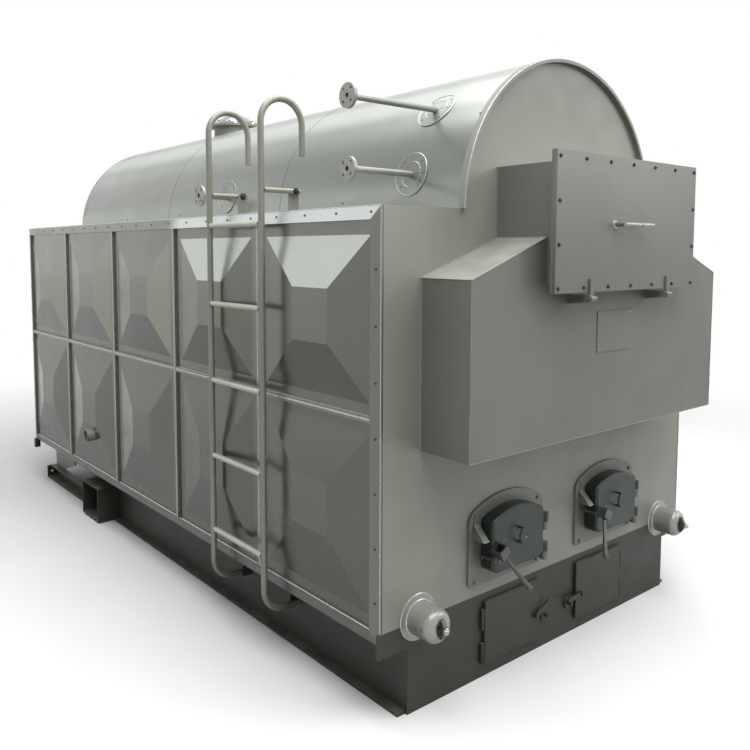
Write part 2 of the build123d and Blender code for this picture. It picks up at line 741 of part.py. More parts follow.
def manhole_neck():
    """Round neck that stands on the drum, with a flange at its top."""
    neck = manhole_column(MANHOLE_RADIUS, HOUSING_TOP, MANHOLE_RIM_Z)
    neck += manhole_column(MANHOLE_RADIUS + MANHOLE_RIM, MANHOLE_RIM_Z - MANHOLE_COVER_THICK, MANHOLE_RIM_Z)
    neck -= manhole_column(MANHOLE_RADIUS - MANHOLE_WALL, HOUSING_TOP, MANHOLE_RIM_Z)
    return neck - jacket_cylinder(DRUM_RADIUS + SEAT_GAP, FRONT, BACK)


def manhole_cover():
    """Flat flange with a dished dome, seated on the neck's flange."""
    z = MANHOLE_RIM_Z + SEAT_GAP
    plate = manhole_column(MANHOLE_RADIUS + MANHOLE_RIM, z, z + MANHOLE_COVER_THICK)
    curve = (MANHOLE_DOME_RADIUS ** 2 + MANHOLE_DOME_RISE ** 2) / (2 * MANHOLE_DOME_RISE)
    foot = z + MANHOLE_COVER_THICK
    ball = Pos(0, MANHOLE_Y, foot + MANHOLE_DOME_RISE - curve) * Sphere(curve)
    return plate + (ball - manhole_column(HALF, foot - 2 * curve, foot))


save("drum_jacket_front", jacket_sheet(INSIDE_FRONT, FIRST_SEAM - SEAM_GAP))
save("drum_jacket_middle", jacket_sheet(FIRST_SEAM, SECOND_SEAM - SEAM_GAP))
save("drum_jacket_rear", jacket_sheet(SECOND_SEAM, INSIDE_BACK))
save("boiler_drum", jacket_cylinder(DRUM_RADIUS, INSIDE_FRONT, INSIDE_BACK))
save("manhole_neck", manhole_neck())
save("manhole_cover", manhole_cover())


# Pipes from the drum with their bolt flanges and cover rings
def lagging_x(z):
    """How far to the side the middle of the drum's lagging lies at height z."""
    middle = (DRUM_RADIUS + JACKET_RADIUS) / 2
    return math.sqrt(middle ** 2 - (z - HOUSING_TOP) ** 2)


def flanged_pipe(y, z, face_x, radius, flange_radius, bolt_circle):
    """Level pipe from inside the lagging, out through the jacket, to a flange with bolt holes."""
    tube = rod_x(radius, -face_x, -lagging_x(z), y, z)
    flange = rod_x(flange_radius, -face_x, -face_x + FLANGE_THICK, y, z)
    pipe = tube + flange - rod_x(radius - GAUGE_PIPE_WALL, -face_x - FLANGE_THICK, 0, y, z)
    pitch = 2 * math.pi / FLANGE_HOLES
    for index in range(FLANGE_HOLES):
        angle = pitch * index + pitch / 2
        dy = bolt_circle / 2 * math.cos(angle)
        dz = bolt_circle / 2 * math.sin(angle)
        pipe -= rod_x(FLANGE_HOLE_RADIUS, -face_x - FLANGE_THICK, -face_x + 2 * FLANGE_THICK, y + dy, z + dz)
    return pipe


def rosette(y, z, pipe_radius):
    """Thin cover ring that lies on the jacket round a pipe."""
    angle = math.degrees(math.asin((z - HOUSING_TOP) / JACKET_RADIUS))
    reach = JACKET_RADIUS + ROSETTE_RADIUS
    core = Pos(0, 0, reach / 2) * Cylinder(ROSETTE_RADIUS, reach)
    core = Pos(0, y, HOUSING_TOP) * Rot(0, angle - 90, 0) * core
    shell = jacket_cylinder(JACKET_RADIUS + SEAT_GAP + ROSETTE_THICK, FRONT, BACK)
    shell -= jacket_cylinder(JACKET_RADIUS + SEAT_GAP, FRONT, BACK)
    hole = rod_x(pipe_radius + SEAT_GAP, -reach, 0, y, z)
    return (core & shell) - hole


gauge_sizes = (GAUGE_FACE_X, GAUGE_PIPE_RADIUS, GAUGE_FLANGE_RADIUS, GAUGE_BOLT_CIRCLE)
rear_sizes = (REAR_PIPE_FACE_X, REAR_PIPE_RADIUS, REAR_FLANGE_RADIUS, REAR_BOLT_CIRCLE)
save("gauge_pipe_lower", flanged_pipe(GAUGE_Y, GAUGE_LOWER_Z, *gauge_sizes))
save("gauge_pipe_upper", flanged_pipe(GAUGE_Y, GAUGE_UPPER_Z, *gauge_sizes))
save("rear_side_pipe", flanged_pipe(REAR_PIPE_Y, REAR_PIPE_Z, *rear_sizes))
save(
    "pipe_rosettes",
    rosette(GAUGE_Y, GAUGE_LOWER_Z, GAUGE_PIPE_RADIUS),
    rosette(GAUGE_Y, GAUGE_UPPER_Z, GAUGE_PIPE_RADIUS),
    rosette(REAR_PIPE_Y, REAR_PIPE_Z, REAR_PIPE_RADIUS),
)


# Header ends with hand holes and their yokes
def rounded_end(radius, nose, rounding):
    """Round bar along Y whose front end is rounded off, for the left header."""
    rod = rod_y(radius, nose, INSIDE_FRONT, -HEADER_X, HEADER_Z)
    return fillet(rod.faces().sort_by(Axis.Y)[0].edges(), rounding)


def hand_hole(grow):
    return Pos(-HEADER_X, HEADER_Z) * Ellipse(HAND_HOLE_WIDTH / 2 + grow, HAND_HOLE_HEIGHT / 2 + grow)


def header_nozzle():
    """Left header end with its collar and the oval hand hole in the nose."""
    collar = rod_y(HEADER_COLLAR_RADIUS, FRONT - HEADER_COLLAR_THICK, FRONT, -HEADER_X, HEADER_Z)
    shell = rounded_end(HEADER_RADIUS, HEADER_NOSE, HEADER_ROUNDING) + collar
    shell -= rounded_end(HEADER_RADIUS - HEADER_WALL, HEADER_NOSE + HEADER_WALL,
                         HEADER_ROUNDING - HEADER_WALL)
    return shell - front_slab(hand_hole(0), HEADER_NOSE - HEADER_WALL, FRONT)


def hand_hole_yoke():
    """A-shaped yoke across the left hand hole, with its bolt, nut and inside lid."""
    foot = HEADER_NOSE - SEAT_GAP
    crest = foot - YOKE_RISE
    half = YOKE_LENGTH / 2
    outline = Polyline(
        (foot, HEADER_Z - half), (foot - YOKE_FOOT, HEADER_Z - half), (crest, HEADER_Z - YOKE_CREST / 2),
        (crest, HEADER_Z + YOKE_CREST / 2), (foot - YOKE_FOOT, HEADER_Z + half), (foot, HEADER_Z + half),
        close=True,
    )
    yoke = side_slab(make_face(outline), -HEADER_X - YOKE_WIDTH / 2, -HEADER_X + YOKE_WIDTH / 2)
    lid_front = HEADER_NOSE + HEADER_WALL + SEAT_GAP
    lid_back = lid_front + HAND_HOLE_LID_THICK
    nut_front = crest - YOKE_NUT_HEIGHT
    bolt = rod_y(YOKE_BOLT_RADIUS, nut_front - YOKE_BOLT_OVER, lid_back, -HEADER_X, HEADER_Z)
    nut = rod_y(YOKE_NUT_RADIUS, nut_front, crest, -HEADER_X, HEADER_Z)
    return yoke + bolt + nut + front_slab(hand_hole(HAND_HOLE_LID_LAP), lid_front, lid_back)


save("header_nozzles", header_nozzle(), other_side(header_nozzle()))
save("hand_hole_yokes", hand_hole_yoke(), other_side(hand_hole_yoke()))


# Smoke box: wide lower part, upper part with its flange, and the hinged cover
def lower_outline(inset):
    half = SMOKE_LOWER_HALF - inset
    top_half = SMOKE_UPPER_HALF - inset
    outline = Polyline(
        (-half, SMOKE_LOWER_BOTTOM + inset), (half, SMOKE_LOWER_BOTTOM + inset),
        (half, SMOKE_SHOULDER - inset), (top_half, SMOKE_LOWER_TOP - inset),
        (-top_half, SMOKE_LOWER_TOP - inset), (-half, SMOKE_SHOULDER - inset), close=True,
    )
    return make_face(outline)


def upper_space(grow):
    """Space of the upper smoke box, in front of and above the lower one, made larger by grow."""
    return block(-SMOKE_UPPER_HALF + SHEET - grow, SMOKE_UPPER_HALF - SHEET + grow,
                 FRONT - SMOKE_UPPER_DEPTH, FRONT, SMOKE_UPPER_BOTTOM - grow, SMOKE_UPPER_TOP - SHEET + grow)


def smoke_box_lower():
    front = FRONT - SMOKE_LOWER_DEPTH
    shell = front_slab(lower_outline(0), front, FRONT)
    shell -= front_slab(lower_outline(SHEET), front + SHEET, FRONT)
    shell -= upper_space(0)
    return shell + cover_lug(-COVER_HINGE_X) + cover_lug(COVER_HINGE_X)


def cover_lug(x):
    """Fixed lug of a cover hinge, left of the strap at x, with the headed pin that the strap turns on."""
    y = COVER_PIN_Y
    z = COVER_PIN_Z
    strap_left = x - COVER_STRAP_WIDTH / 2 - SEAT_GAP
    strap_right = x + COVER_STRAP_WIDTH / 2 + SEAT_GAP
    left = strap_left - COVER_LUG_THICK
    root = FRONT - SMOKE_LOWER_DEPTH
    outline = Polyline((root, z - COVER_LUG_ROOT_DROP), (root, z + COVER_LUG_RADIUS),
                       (y, z + COVER_LUG_RADIUS), (y, z - COVER_LUG_RADIUS), close=True)
    lug = side_slab(make_face(outline), left, strap_left) + rod_x(COVER_LUG_RADIUS, left, strap_left, y, z)
    pin = rod_x(COVER_PIN_RADIUS, left - COVER_PIN_HEAD_THICK, strap_right + COVER_PIN_HEAD_THICK, y, z)
    pin += rod_x(COVER_PIN_HEAD_RADIUS, left - COVER_PIN_HEAD_THICK, left, y, z)
    pin += rod_x(COVER_PIN_HEAD_RADIUS, strap_right, strap_right + COVER_PIN_HEAD_THICK, y, z)
    return lug + pin


def smoke_box_upper():
    front = FRONT - SMOKE_UPPER_DEPTH
    flange = block(-COVER_HALF, COVER_HALF, front - SMOKE_FLANGE_THICK, front, COVER_BOTTOM, COVER_TOP)
    window = block(-SMOKE_UPPER_HALF + SHEET, SMOKE_UPPER_HALF - SHEET, front - SMOKE_FLANGE_THICK, front,
                   SMOKE_UPPER_BOTTOM, SMOKE_UPPER_TOP - SHEET)
    shell = upper_space(SHEET) - upper_space(0) + flange - window
    return shell - front_slab(lower_outline(0), FRONT - SMOKE_LOWER_DEPTH, FRONT)


def smoke_box_cover():
    """Flat cover with two straps that turn on the pins of the lugs."""
    plate = block(-COVER_HALF, COVER_HALF, COVER_FACE, COVER_BACK, COVER_BOTTOM, COVER_TOP)
    half = COVER_STRAP_WIDTH / 2
    for x in (-COVER_HINGE_X, COVER_HINGE_X):
        strap = block(x - half, x + half, COVER_FACE - COVER_STRAP_THICK, COVER_FACE,
                      COVER_PIN_Z, COVER_BOTTOM + COVER_STRAP_HEIGHT)
        strap += rod_x(COVER_KNUCKLE_RADIUS, x - half, x + half, COVER_PIN_Y, COVER_PIN_Z)
        plate += strap - rod_x(COVER_PIN_RADIUS + PIN_CLEARANCE, x - half, x + half, COVER_PIN_Y, COVER_PIN_Z)
    return plate + cover_handle()


def cover_handle():
    y = COVER_FACE - COVER_HANDLE_STANDOFF
    stud = rod_y(COVER_STUD_RADIUS, y - COVER_STUD_RADIUS, COVER_FACE, COVER_HANDLE_STUD_X, COVER_HANDLE_Z)
    bar = rod_x(COVER_HANDLE_RADIUS, COVER_HANDLE_STUD_X, COVER_HANDLE_STUD_X + COVER_HANDLE_LENGTH, y,
                COVER_HANDLE_Z)
    return stud + bar


save("smoke_box_lower", smoke_box_lower())
save("smoke_box_upper", smoke_box_upper())
save("smoke_box_cover", smoke_box_cover())


# Fire doors with frames, hinges, keepers, pulls and latches
def fire_frame(x):
    """Flat frame round a fire mouth, with the fixed hinge knuckles, their pins and the keeper."""
    outer = arch(FIRE_FRAME_HALF, FIRE_FRAME_BOTTOM, FIRE_FRAME_SIDE_TOP, FIRE_FRAME_APEX, x,
                 FRAME_CORNER, FRAME_SHOULDER)
    plate = front_slab(outer - fire_mouth(x), FIRE_FRAME_FACE, FRONT)
    pin_x = x + FIRE_PIN_OFFSET
    pin_y = FRONT - FIRE_PIN_DEPTH
    for foot in FIRE_HINGE_FEET:
        top = foot + FIRE_FIXED_KNUCKLE
        plate += rod_z(FIRE_KNUCKLE_RADIUS, foot, top, pin_x, pin_y)
        plate += block(pin_x - HINGE_ARM_THICK / 2, pin_x + HINGE_ARM_THICK / 2, pin_y, FIRE_FRAME_FACE,
                       foot, top)
        plate += rod_z(FIRE_PIN_RADIUS, foot, top + FIRE_MOVING_KNUCKLE, pin_x, pin_y)
    return plate + keeper(x)


def keeper(x):
    """Hollow wedge of sheet at the frame's free side; the latch tooth rises behind its sloping front."""
    face = FIRE_FRAME_FACE
    lip = face - KEEPER_DEPTH
    inner_top = KEEPER_TOP - KEEPER_SHEET * (KEEPER_TOP - KEEPER_BOTTOM) / KEEPER_DEPTH
    slope = Polyline((face, KEEPER_TOP), (lip, KEEPER_BOTTOM), (lip + KEEPER_SHEET, KEEPER_BOTTOM),
                     (face, inner_top), close=True)
    side = Polyline((face, KEEPER_TOP), (lip, KEEPER_BOTTOM), (face, KEEPER_BOTTOM), close=True)
    left = x - KEEPER_OFFSET - KEEPER_WIDTH / 2
    right = left + KEEPER_WIDTH
    base = block(left, right, face - KEEPER_CHEEK, face, KEEPER_BOTTOM - KEEPER_BASE_OVER,
                 KEEPER_TOP + KEEPER_BASE_OVER)
    front = side_slab(make_face(slope), left, right)
    return front + side_slab(make_face(side), left, left + KEEPER_CHEEK) + base


def fire_door(x):
    """Door slab with a bevelled face, its hinge knuckles, the latch pin and the pull."""
    outline = arch(FIRE_DOOR_HALF, FIRE_DOOR_BOTTOM, FIRE_DOOR_SIDE_TOP, FIRE_DOOR_APEX, x,
                   FIRE_DOOR_CORNER, FIRE_DOOR_SHOULDER)
    back = FIRE_FACE + FIRE_DOOR_THICK
    door = front_slab(outline, FIRE_FACE, back)
    door = chamfer(door.faces().sort_by(Axis.Y)[0].edges(), FIRE_DOOR_BEVEL)
    pin_x = x + FIRE_PIN_OFFSET
    pin_y = FRONT - FIRE_PIN_DEPTH
    for foot in FIRE_HINGE_FEET:
        z0 = foot + FIRE_FIXED_KNUCKLE + SEAT_GAP
        z1 = z0 + FIRE_MOVING_KNUCKLE
        door += block(x + FIRE_DOOR_HALF - HINGE_ARM_THICK, pin_x, pin_y - HINGE_ARM_THICK / 2,
                      pin_y + HINGE_ARM_THICK / 2, z0, z1)
        door += rod_z(FIRE_KNUCKLE_RADIUS, z0, z1, pin_x, pin_y)
        door -= rod_z(FIRE_PIN_RADIUS + PIN_CLEARANCE, z0, z1, pin_x, pin_y)
    pivot = x - FIRE_DOOR_HALF + LATCH_PIVOT_INSET
    head_back = FIRE_FACE - LATCH_BOSS_THICK - LATCH_CUP_WALL - SEAT_GAP
    door += rod_y(LATCH_PIN_RADIUS, head_back, FIRE_FACE, pivot, LATCH_PIVOT_Z)
    door += rod_y(LATCH_PIN_HEAD, head_back - LATCH_PIN_HEAD_THICK, head_back, pivot, LATCH_PIVOT_Z)
    return door + door_pull(x)


def door_pull(x):
    """Bowed pull of round bar that enters the door at both ends."""
    y = FIRE_FACE - PULL_STANDOFF
    ends = x - PULL_INSET
    low = (ends, y, PULL_Z - PULL_HALF_HEIGHT)
    high = (ends, y, PULL_Z + PULL_HALF_HEIGHT)
    bow = Edge.make_three_point_arc(low, (ends - PULL_BOW, y, PULL_Z), high)
    section = Plane(origin=low, z_dir=bow % 0) * Circle(PULL_RADIUS)
    pull = sweep(section, path=Wire([bow]))
    for _, _, z in (low, high):
        pull += rod_y(PULL_RADIUS, y, FIRE_FACE, ends, z) + Pos(ends, y, z) * Sphere(PULL_RADIUS)
    return pull


def latch_cup():
    """Square cup of the lever, open upwards, with the boss that turns on the door's pin."""
    back = FIRE_FACE - LATCH_BOSS_THICK
    front = back - LATCH_CUP_WIDTH
    half = LATCH_CUP_WIDTH / 2
    low = -LATCH_CUP_HEIGHT / 2
    cup = block(-half, half, front, back, low, -low)
    cup -= block(-half + LATCH_CUP_WALL, half - LATCH_CUP_WALL, front + LATCH_CUP_WALL, back - LATCH_CUP_WALL,
                 low + LATCH_CUP_WALL, -low)
    return cup + rod_y(LATCH_BOSS_RADIUS, back, FIRE_FACE - SEAT_GAP, 0, 0)


def latch_hook():
    """Prong that reaches back past the door's edge, and the tooth at its end."""
    back = FRONT - LATCH_TOOTH_FROM_FRONT
    front = FIRE_FACE - LATCH_BOSS_THICK - LATCH_CUP_WALL
    half = LATCH_PRONG / 2
    cup_edge = LATCH_CUP_WIDTH / 2 - LATCH_CUP_WALL / 2
    arm = block(-LATCH_PRONG_RADIUS, -cup_edge, front - LATCH_PRONG, front, -half, half)
    prong = block(-LATCH_PRONG_RADIUS - half, -LATCH_PRONG_RADIUS + half, front - LATCH_PRONG, back,
                  -half, half)
    hook = Rot(0, -LATCH_PRONG_ANGLE, 0) * (arm + prong)
    swing = math.radians(LATCH_PRONG_ANGLE)
    end_x = -LATCH_PRONG_RADIUS * math.cos(swing)
    end_z = -LATCH_PRONG_RADIUS * math.sin(swing)
    tooth = block(-half, half, back - LATCH_TOOTH_DEPTH, back, 0, LATCH_TOOTH_LENGTH)
    return hook + Pos(end_x, 0, end_z) * Rot(0, -LATCH_TOOTH_ANGLE, 0) * tooth


def latch_rod():
    """Handle rod that leans outwards and ends in a ball."""
    middle = FIRE_FACE - LATCH_BOSS_THICK - LATCH_CUP_WIDTH / 2
    start = LATCH_CUP_HEIGHT / 2 - LATCH_CUP_WALL / 2
    length = LATCH_ROD_LENGTH - start
    rod = Pos(0, 0, -start - length / 2) * Cone(LATCH_ROD_END_RADIUS, LATCH_ROD_RADIUS, length)
    ball = Pos(0, 0, -LATCH_ROD_LENGTH) * Sphere(LATCH_BALL_RADIUS)
    return Pos(0, middle, 0) * Rot(-LATCH_ROD_KICK, 0, 0) * (rod + ball)


def fire_latch(x, rest):
    """Latch lever: cup, hook and handle rod, turned to its rest angle about the pin."""
    lever = latch_cup() + latch_hook() + latch_rod()
    bore_front = FIRE_FACE - LATCH_BOSS_THICK - LATCH_CUP_WALL - LATCH_CUP_WALL
    lever -= rod_y(LATCH_PIN_RADIUS + PIN_CLEARANCE, bore_front, FIRE_FACE, 0, 0)
    pivot = x - FIRE_DOOR_HALF + LATCH_PIVOT_INSET
    return Pos(pivot, 0, LATCH_PIVOT_Z) * Rot(0, -rest, 0) * lever


for name, side, rest in (("left", -1, LATCH_REST_LEFT), ("right", 1, LATCH_REST_RIGHT)):
    save(f"fire_door_frame_{name}", fire_frame(side * FIRE_X))
    save(f"fire_door_{name}", fire_door(side * FIRE_X))
    save(f"fire_latch_{name}", fire_latch(side * FIRE_X, rest))


# Ash doors with hinges on their outer edges and drop latches
def ash_door(side):
    """Flat door with its hinge knuckles and the pin of its latch, side -1 for the left one."""
    x0 = side * ASH_X - ASH_DOOR_HALF
    x1 = side * ASH_X + ASH_DOOR_HALF
    door = block(x0, x1, ASH_FACE, FRONT - ASH_DOOR_GAP, ASH_DOOR_BOTTOM, ASH_DOOR_TOP)
    edge = side * (ASH_X + ASH_DOOR_HALF)
    pin_x = edge + side * ASH_PIN_OFFSET
    pin_y = FRONT - ASH_PIN_DEPTH
    for foot in ASH_HINGE_FEET:
        z0 = foot + ASH_KNUCKLE_LENGTH + SEAT_GAP
        z1 = z0 + ASH_KNUCKLE_LENGTH
        door += block(edge - side * ASH_ARM_THICK, pin_x, pin_y - ASH_ARM_THICK / 2,
                      pin_y + ASH_ARM_THICK / 2, z0, z1)
        door += rod_z(ASH_KNUCKLE_RADIUS, z0, z1, pin_x, pin_y)
        door -= rod_z(ASH_PIN_RADIUS + PIN_CLEARANCE, z0, z1, pin_x, pin_y)
    pivot = side * (ASH_X - ASH_DOOR_HALF + ASH_LATCH_INSET)
    front = ASH_FACE - ASH_LATCH_STANDOFF - ASH_LATCH_THICK
    door += rod_y(ASH_LATCH_PIN_RADIUS, front - SEAT_GAP, ASH_FACE, pivot, ASH_LATCH_Z)
    door += rod_y(ASH_LATCH_PIN_HEAD, front - ASH_LATCH_PIN_HEAD_THICK, front - SEAT_GAP, pivot, ASH_LATCH_Z)
    return door


def ash_latch(side, rest):
    """Flat bar with round ends, turning on a pin in the door."""
    back = ASH_FACE - ASH_LATCH_STANDOFF
    front = back - ASH_LATCH_THICK
    radius = ASH_LATCH_WIDTH / 2
    bar = block(-ASH_LATCH_LENGTH + radius, 0, front, back, -radius, radius)
    bar += rod_y(radius, front, back, -ASH_LATCH_LENGTH + radius, 0)
    bar += rod_y(radius, front, ASH_FACE - SEAT_GAP, 0, 0)
    bar -= rod_y(ASH_LATCH_PIN_RADIUS + PIN_CLEARANCE, front - radius, ASH_FACE, 0, 0)
    turned = Pos(ASH_X - ASH_DOOR_HALF + ASH_LATCH_INSET, 0, ASH_LATCH_Z) * Rot(0, rest, 0) * bar
    return turned if side > 0 else other_side(turned)


for name, side, rest in (("left", -1, ASH_LATCH_REST_LEFT), ("right", 1, ASH_LATCH_REST_RIGHT)):
    save(f"ash_door_{name}", ash_door(side))
    save(f"ash_latch_{name}", ash_latch(side, rest))


# Ladder: bent tube rails, rungs, and the stays and tabs that hold it
def ladder_rail(y):
    """Tube with a hook over its top and a bend inwards at its foot."""
    hook_z = HOUSING_TOP + LADDER_HOOK_RISE
    hook_end_x = LADDER_X + 2 * LADDER_HOOK_RADIUS
    foot_start = (-HALF + LADDER_FOOT_END_INSET, y, LADDER_FOOT_Z)
    foot_bend = (LADDER_X + LADDER_FOOT_RADIUS, y, LADDER_FOOT_Z)
    foot_top = (LADDER_X, y, LADDER_FOOT_Z + LADDER_FOOT_RADIUS)
    hook_start = (LADDER_X, y, hook_z)
    hook_apex = (LADDER_X + LADDER_HOOK_RADIUS, y, hook_z + LADDER_HOOK_RADIUS)
    hook_end = (hook_end_x, y, hook_z)
    tip = (hook_end_x, y, hook_z - LADDER_HOOK_TAIL)
    middle = LADDER_FOOT_RADIUS * (1 - math.sqrt(0.5))
    foot_middle = (LADDER_X + middle, y, LADDER_FOOT_Z + middle)
    path = Wire([
        Edge.make_line(foot_start, foot_bend),
        Edge.make_three_point_arc(foot_bend, foot_middle, foot_top),
        Edge.make_line(foot_top, hook_start),
        Edge.make_three_point_arc(hook_start, hook_apex, hook_end),
        Edge.make_line(hook_end, tip),
    ])
    section = Plane(origin=foot_start, z_dir=(-1, 0, 0)) * Circle(LADDER_RAIL_RADIUS)
    return sweep(section, path=path)


def ladder_rung(index):
    z = HOUSING_TOP - LADDER_RUNG_DROP - index * LADDER_RUNG_PITCH
    end_gap = LADDER_RAIL_RADIUS + SEAT_GAP
    return rod_y(LADDER_RUNG_RADIUS, LADDER_NEAR_Y + end_gap, LADDER_FAR_Y - end_gap, LADDER_X, z)


def ladder_stay(y, inward):
    """Level tube from a rail to the tab on the roof, which stands on the ladder's inner side."""
    start = LADDER_X + LADDER_RAIL_RADIUS + SEAT_GAP
    tube = rod_x(LADDER_STAY_RADIUS, start, -HALF + LADDER_STAY_END_INSET, y, LADDER_STAY_Z)
    near = y + inward * (LADDER_STAY_RADIUS - LADDER_TAB_THICK / 2)
    tab = block(-LADDER_TAB_X - LADDER_TAB_WIDTH / 2, -LADDER_TAB_X + LADDER_TAB_WIDTH / 2,
                near, near + inward * LADDER_TAB_THICK, HOUSING_TOP, LADDER_STAY_Z + LADDER_TAB_OVER)
    return tube + fillet(tab.edges().filter_by(Axis.Y).group_by(Axis.Z)[-1], LADDER_TAB_ROUNDING)


def foot_tab(y, inward):
    """Tab under the base's upper flange that holds the foot of a rail."""
    near = y + inward * (LADDER_RAIL_RADIUS + SEAT_GAP)
    return block(-LADDER_TAB_X - LADDER_TAB_WIDTH / 2, -BASE_HALF, near, near + inward * LADDER_TAB_THICK,
                 LADDER_FOOT_Z - LADDER_TAB_OVER, HOUSING_BOTTOM - BASE_FLANGE_THICK)


save("ladder_rails", ladder_rail(LADDER_NEAR_Y), ladder_rail(LADDER_FAR_Y))
save("ladder_rungs", *[ladder_rung(index) for index in range(LADDER_RUNGS)])
save("ladder_stays", ladder_stay(LADDER_NEAR_Y, 1), ladder_stay(LADDER_FAR_Y, -1))
save("ladder_foot_tabs", foot_tab(LADDER_NEAR_Y, 1), foot_tab(LADDER_FAR_Y, -1))
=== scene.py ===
import json
import math
import random

import bmesh
import bpy
from mathutils import Matrix, Vector


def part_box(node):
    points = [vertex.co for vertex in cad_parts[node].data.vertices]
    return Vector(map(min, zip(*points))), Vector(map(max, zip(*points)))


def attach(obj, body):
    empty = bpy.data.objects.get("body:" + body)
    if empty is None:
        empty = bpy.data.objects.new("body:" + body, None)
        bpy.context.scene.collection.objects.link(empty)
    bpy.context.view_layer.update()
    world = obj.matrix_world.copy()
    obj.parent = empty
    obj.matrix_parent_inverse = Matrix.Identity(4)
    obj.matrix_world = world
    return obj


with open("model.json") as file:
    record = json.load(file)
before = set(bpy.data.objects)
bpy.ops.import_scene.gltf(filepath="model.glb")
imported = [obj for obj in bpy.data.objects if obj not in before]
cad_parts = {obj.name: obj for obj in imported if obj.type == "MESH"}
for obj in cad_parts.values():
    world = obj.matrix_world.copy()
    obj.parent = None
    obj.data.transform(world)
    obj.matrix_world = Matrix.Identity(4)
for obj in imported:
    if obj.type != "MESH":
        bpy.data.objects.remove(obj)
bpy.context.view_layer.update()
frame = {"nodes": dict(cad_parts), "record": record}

bl_info = {
    "name": "Steam boiler finish",
    "version": (1, 0),
    "blender": (4, 5, 0),
    "location": "View3D > Sidebar > Boiler",
    "description": "Finishes, fastenings, welds and stage of a hand-fired steam boiler",
    "category": "Object",
}

NODES = frame["nodes"]
ROOT = "boiler"
SIDES = {"left": -1, "right": 1}

# Places taken from the frame, in metres
COVER_LOW, COVER_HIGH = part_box("smoke_box_cover")
LOWER_LOW, LOWER_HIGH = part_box("smoke_box_lower")
UPPER_LOW, UPPER_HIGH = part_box("smoke_box_upper")
JACKET_LOW, JACKET_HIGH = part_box("drum_jacket_middle")
SHEETS_LOW, SHEETS_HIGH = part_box("side_covers_left")
NOZZLE_LOW, NOZZLE_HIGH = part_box("header_nozzles")
RUNGS_LOW, RUNGS_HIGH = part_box("ladder_rungs")
STAYS_LOW, STAYS_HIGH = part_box("ladder_stays")
LID_LOW, LID_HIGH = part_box("manhole_cover")
HOUSING_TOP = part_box("side_trim_left")[1].z
YOKES_FACE_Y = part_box("hand_hole_yokes")[0].y
FLUE_FACE_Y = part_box("rear_plate")[1].y

FRONT_Y = SHEETS_LOW.y
BACK_Y = SHEETS_HIGH.y
DRUM_Z = JACKET_LOW.z
DRUM_RADIUS = JACKET_HIGH.x
SEAM_FRONT_Y = JACKET_LOW.y
SEAM_BACK_Y = JACKET_HIGH.y

# Places on the housing that no box of a node gives
SMOKE_FACE_Y = FRONT_Y - 0.245
FRAME_FACE_Y = FRONT_Y - 0.010
TRIM_EDGE_X = 1.0288
TRIM_FACE_X = 1.0352
BATTEN_FACE_X = 1.0388
FIRE_X = 0.35
HEADER_X = 0.845
HEADER_Z = (NOZZLE_LOW.z + NOZZLE_HIGH.z) / 2
PANEL_FOOT = 0.352
PANEL_MIDDLE = 1.128
PANEL_HEAD = 1.837
COLUMNS = 5
PIPES = (
    ("lower_gauge", "gauge_pipe_lower", 0.013),
    ("upper_gauge", "gauge_pipe_upper", 0.013),
    ("rear_side", "rear_side_pipe", 0.016),
)

# Sides of fasteners, and the angle from which an edge stays sharp
HEXAGON = 6
WASHER_SIDES = 20
SCREW_SIDES = 12
SHARP_FROM = math.radians(32)
# Straight out of the fired front, and the spin that carries a profile up over the drum
AHEAD = (0, -1, 0)
OVER_DRUM = {"cent": (0, 0, DRUM_Z), "axis": (0, 1, 0), "angle": math.pi, "steps": 96}

# Lamps: where each stands, what it points at and the size of its panel, in metres
LAMPS = (
    ("top_light", (-0.4, -2.0, 6.2), (0, -0.8, 1.0), (6.0, 8.0)),
    ("front_light", (6.2, -7.2, 5.0), (0.2, -2.2, 1.4), (6.0, 3.4)),
    ("side_light", (-4.6, 6.4, 3.35), (-1.0, -0.6, 1.6), (9.0, 4.0)),
)
# Tint of the room, and the floor's radius, clouds and distances over which it turns into backdrop
ROOM_TINT = (0.95, 0.975, 1.0, 1.0)
FLOOR_RADIUS = 40.0
FLOOR_CLOUDS = dict(scale=1.3, detail=4.0, low=0.35, high=0.65)
FLOOR_FADE = (2.6, 7.0)


def srgb(red, green, blue):
    """Linear colour from the three 0 to 255 values of a paint card."""
    def line(value):
        value /= 255
        return value / 12.92 if value <= 0.04045 else ((value + 0.055) / 1.055) ** 2.4
    return (line(red), line(green), line(blue))


def plain(name, default, text, **more):
    return bpy.props.FloatProperty(name=name, default=default, description=text, **more)


def length(name, default, text):
    return plain(name, default, text, min=0, unit="LENGTH")


def angle(name, default, text):
    return plain(name, default, text, unit="ROTATION")


def colour(name, default, text):
    return bpy.props.FloatVectorProperty(
        name=name, default=default, size=3, min=0, max=1, subtype="COLOR", description=text)


def amount(name, default, text):
    return plain(name, default, text, min=0)


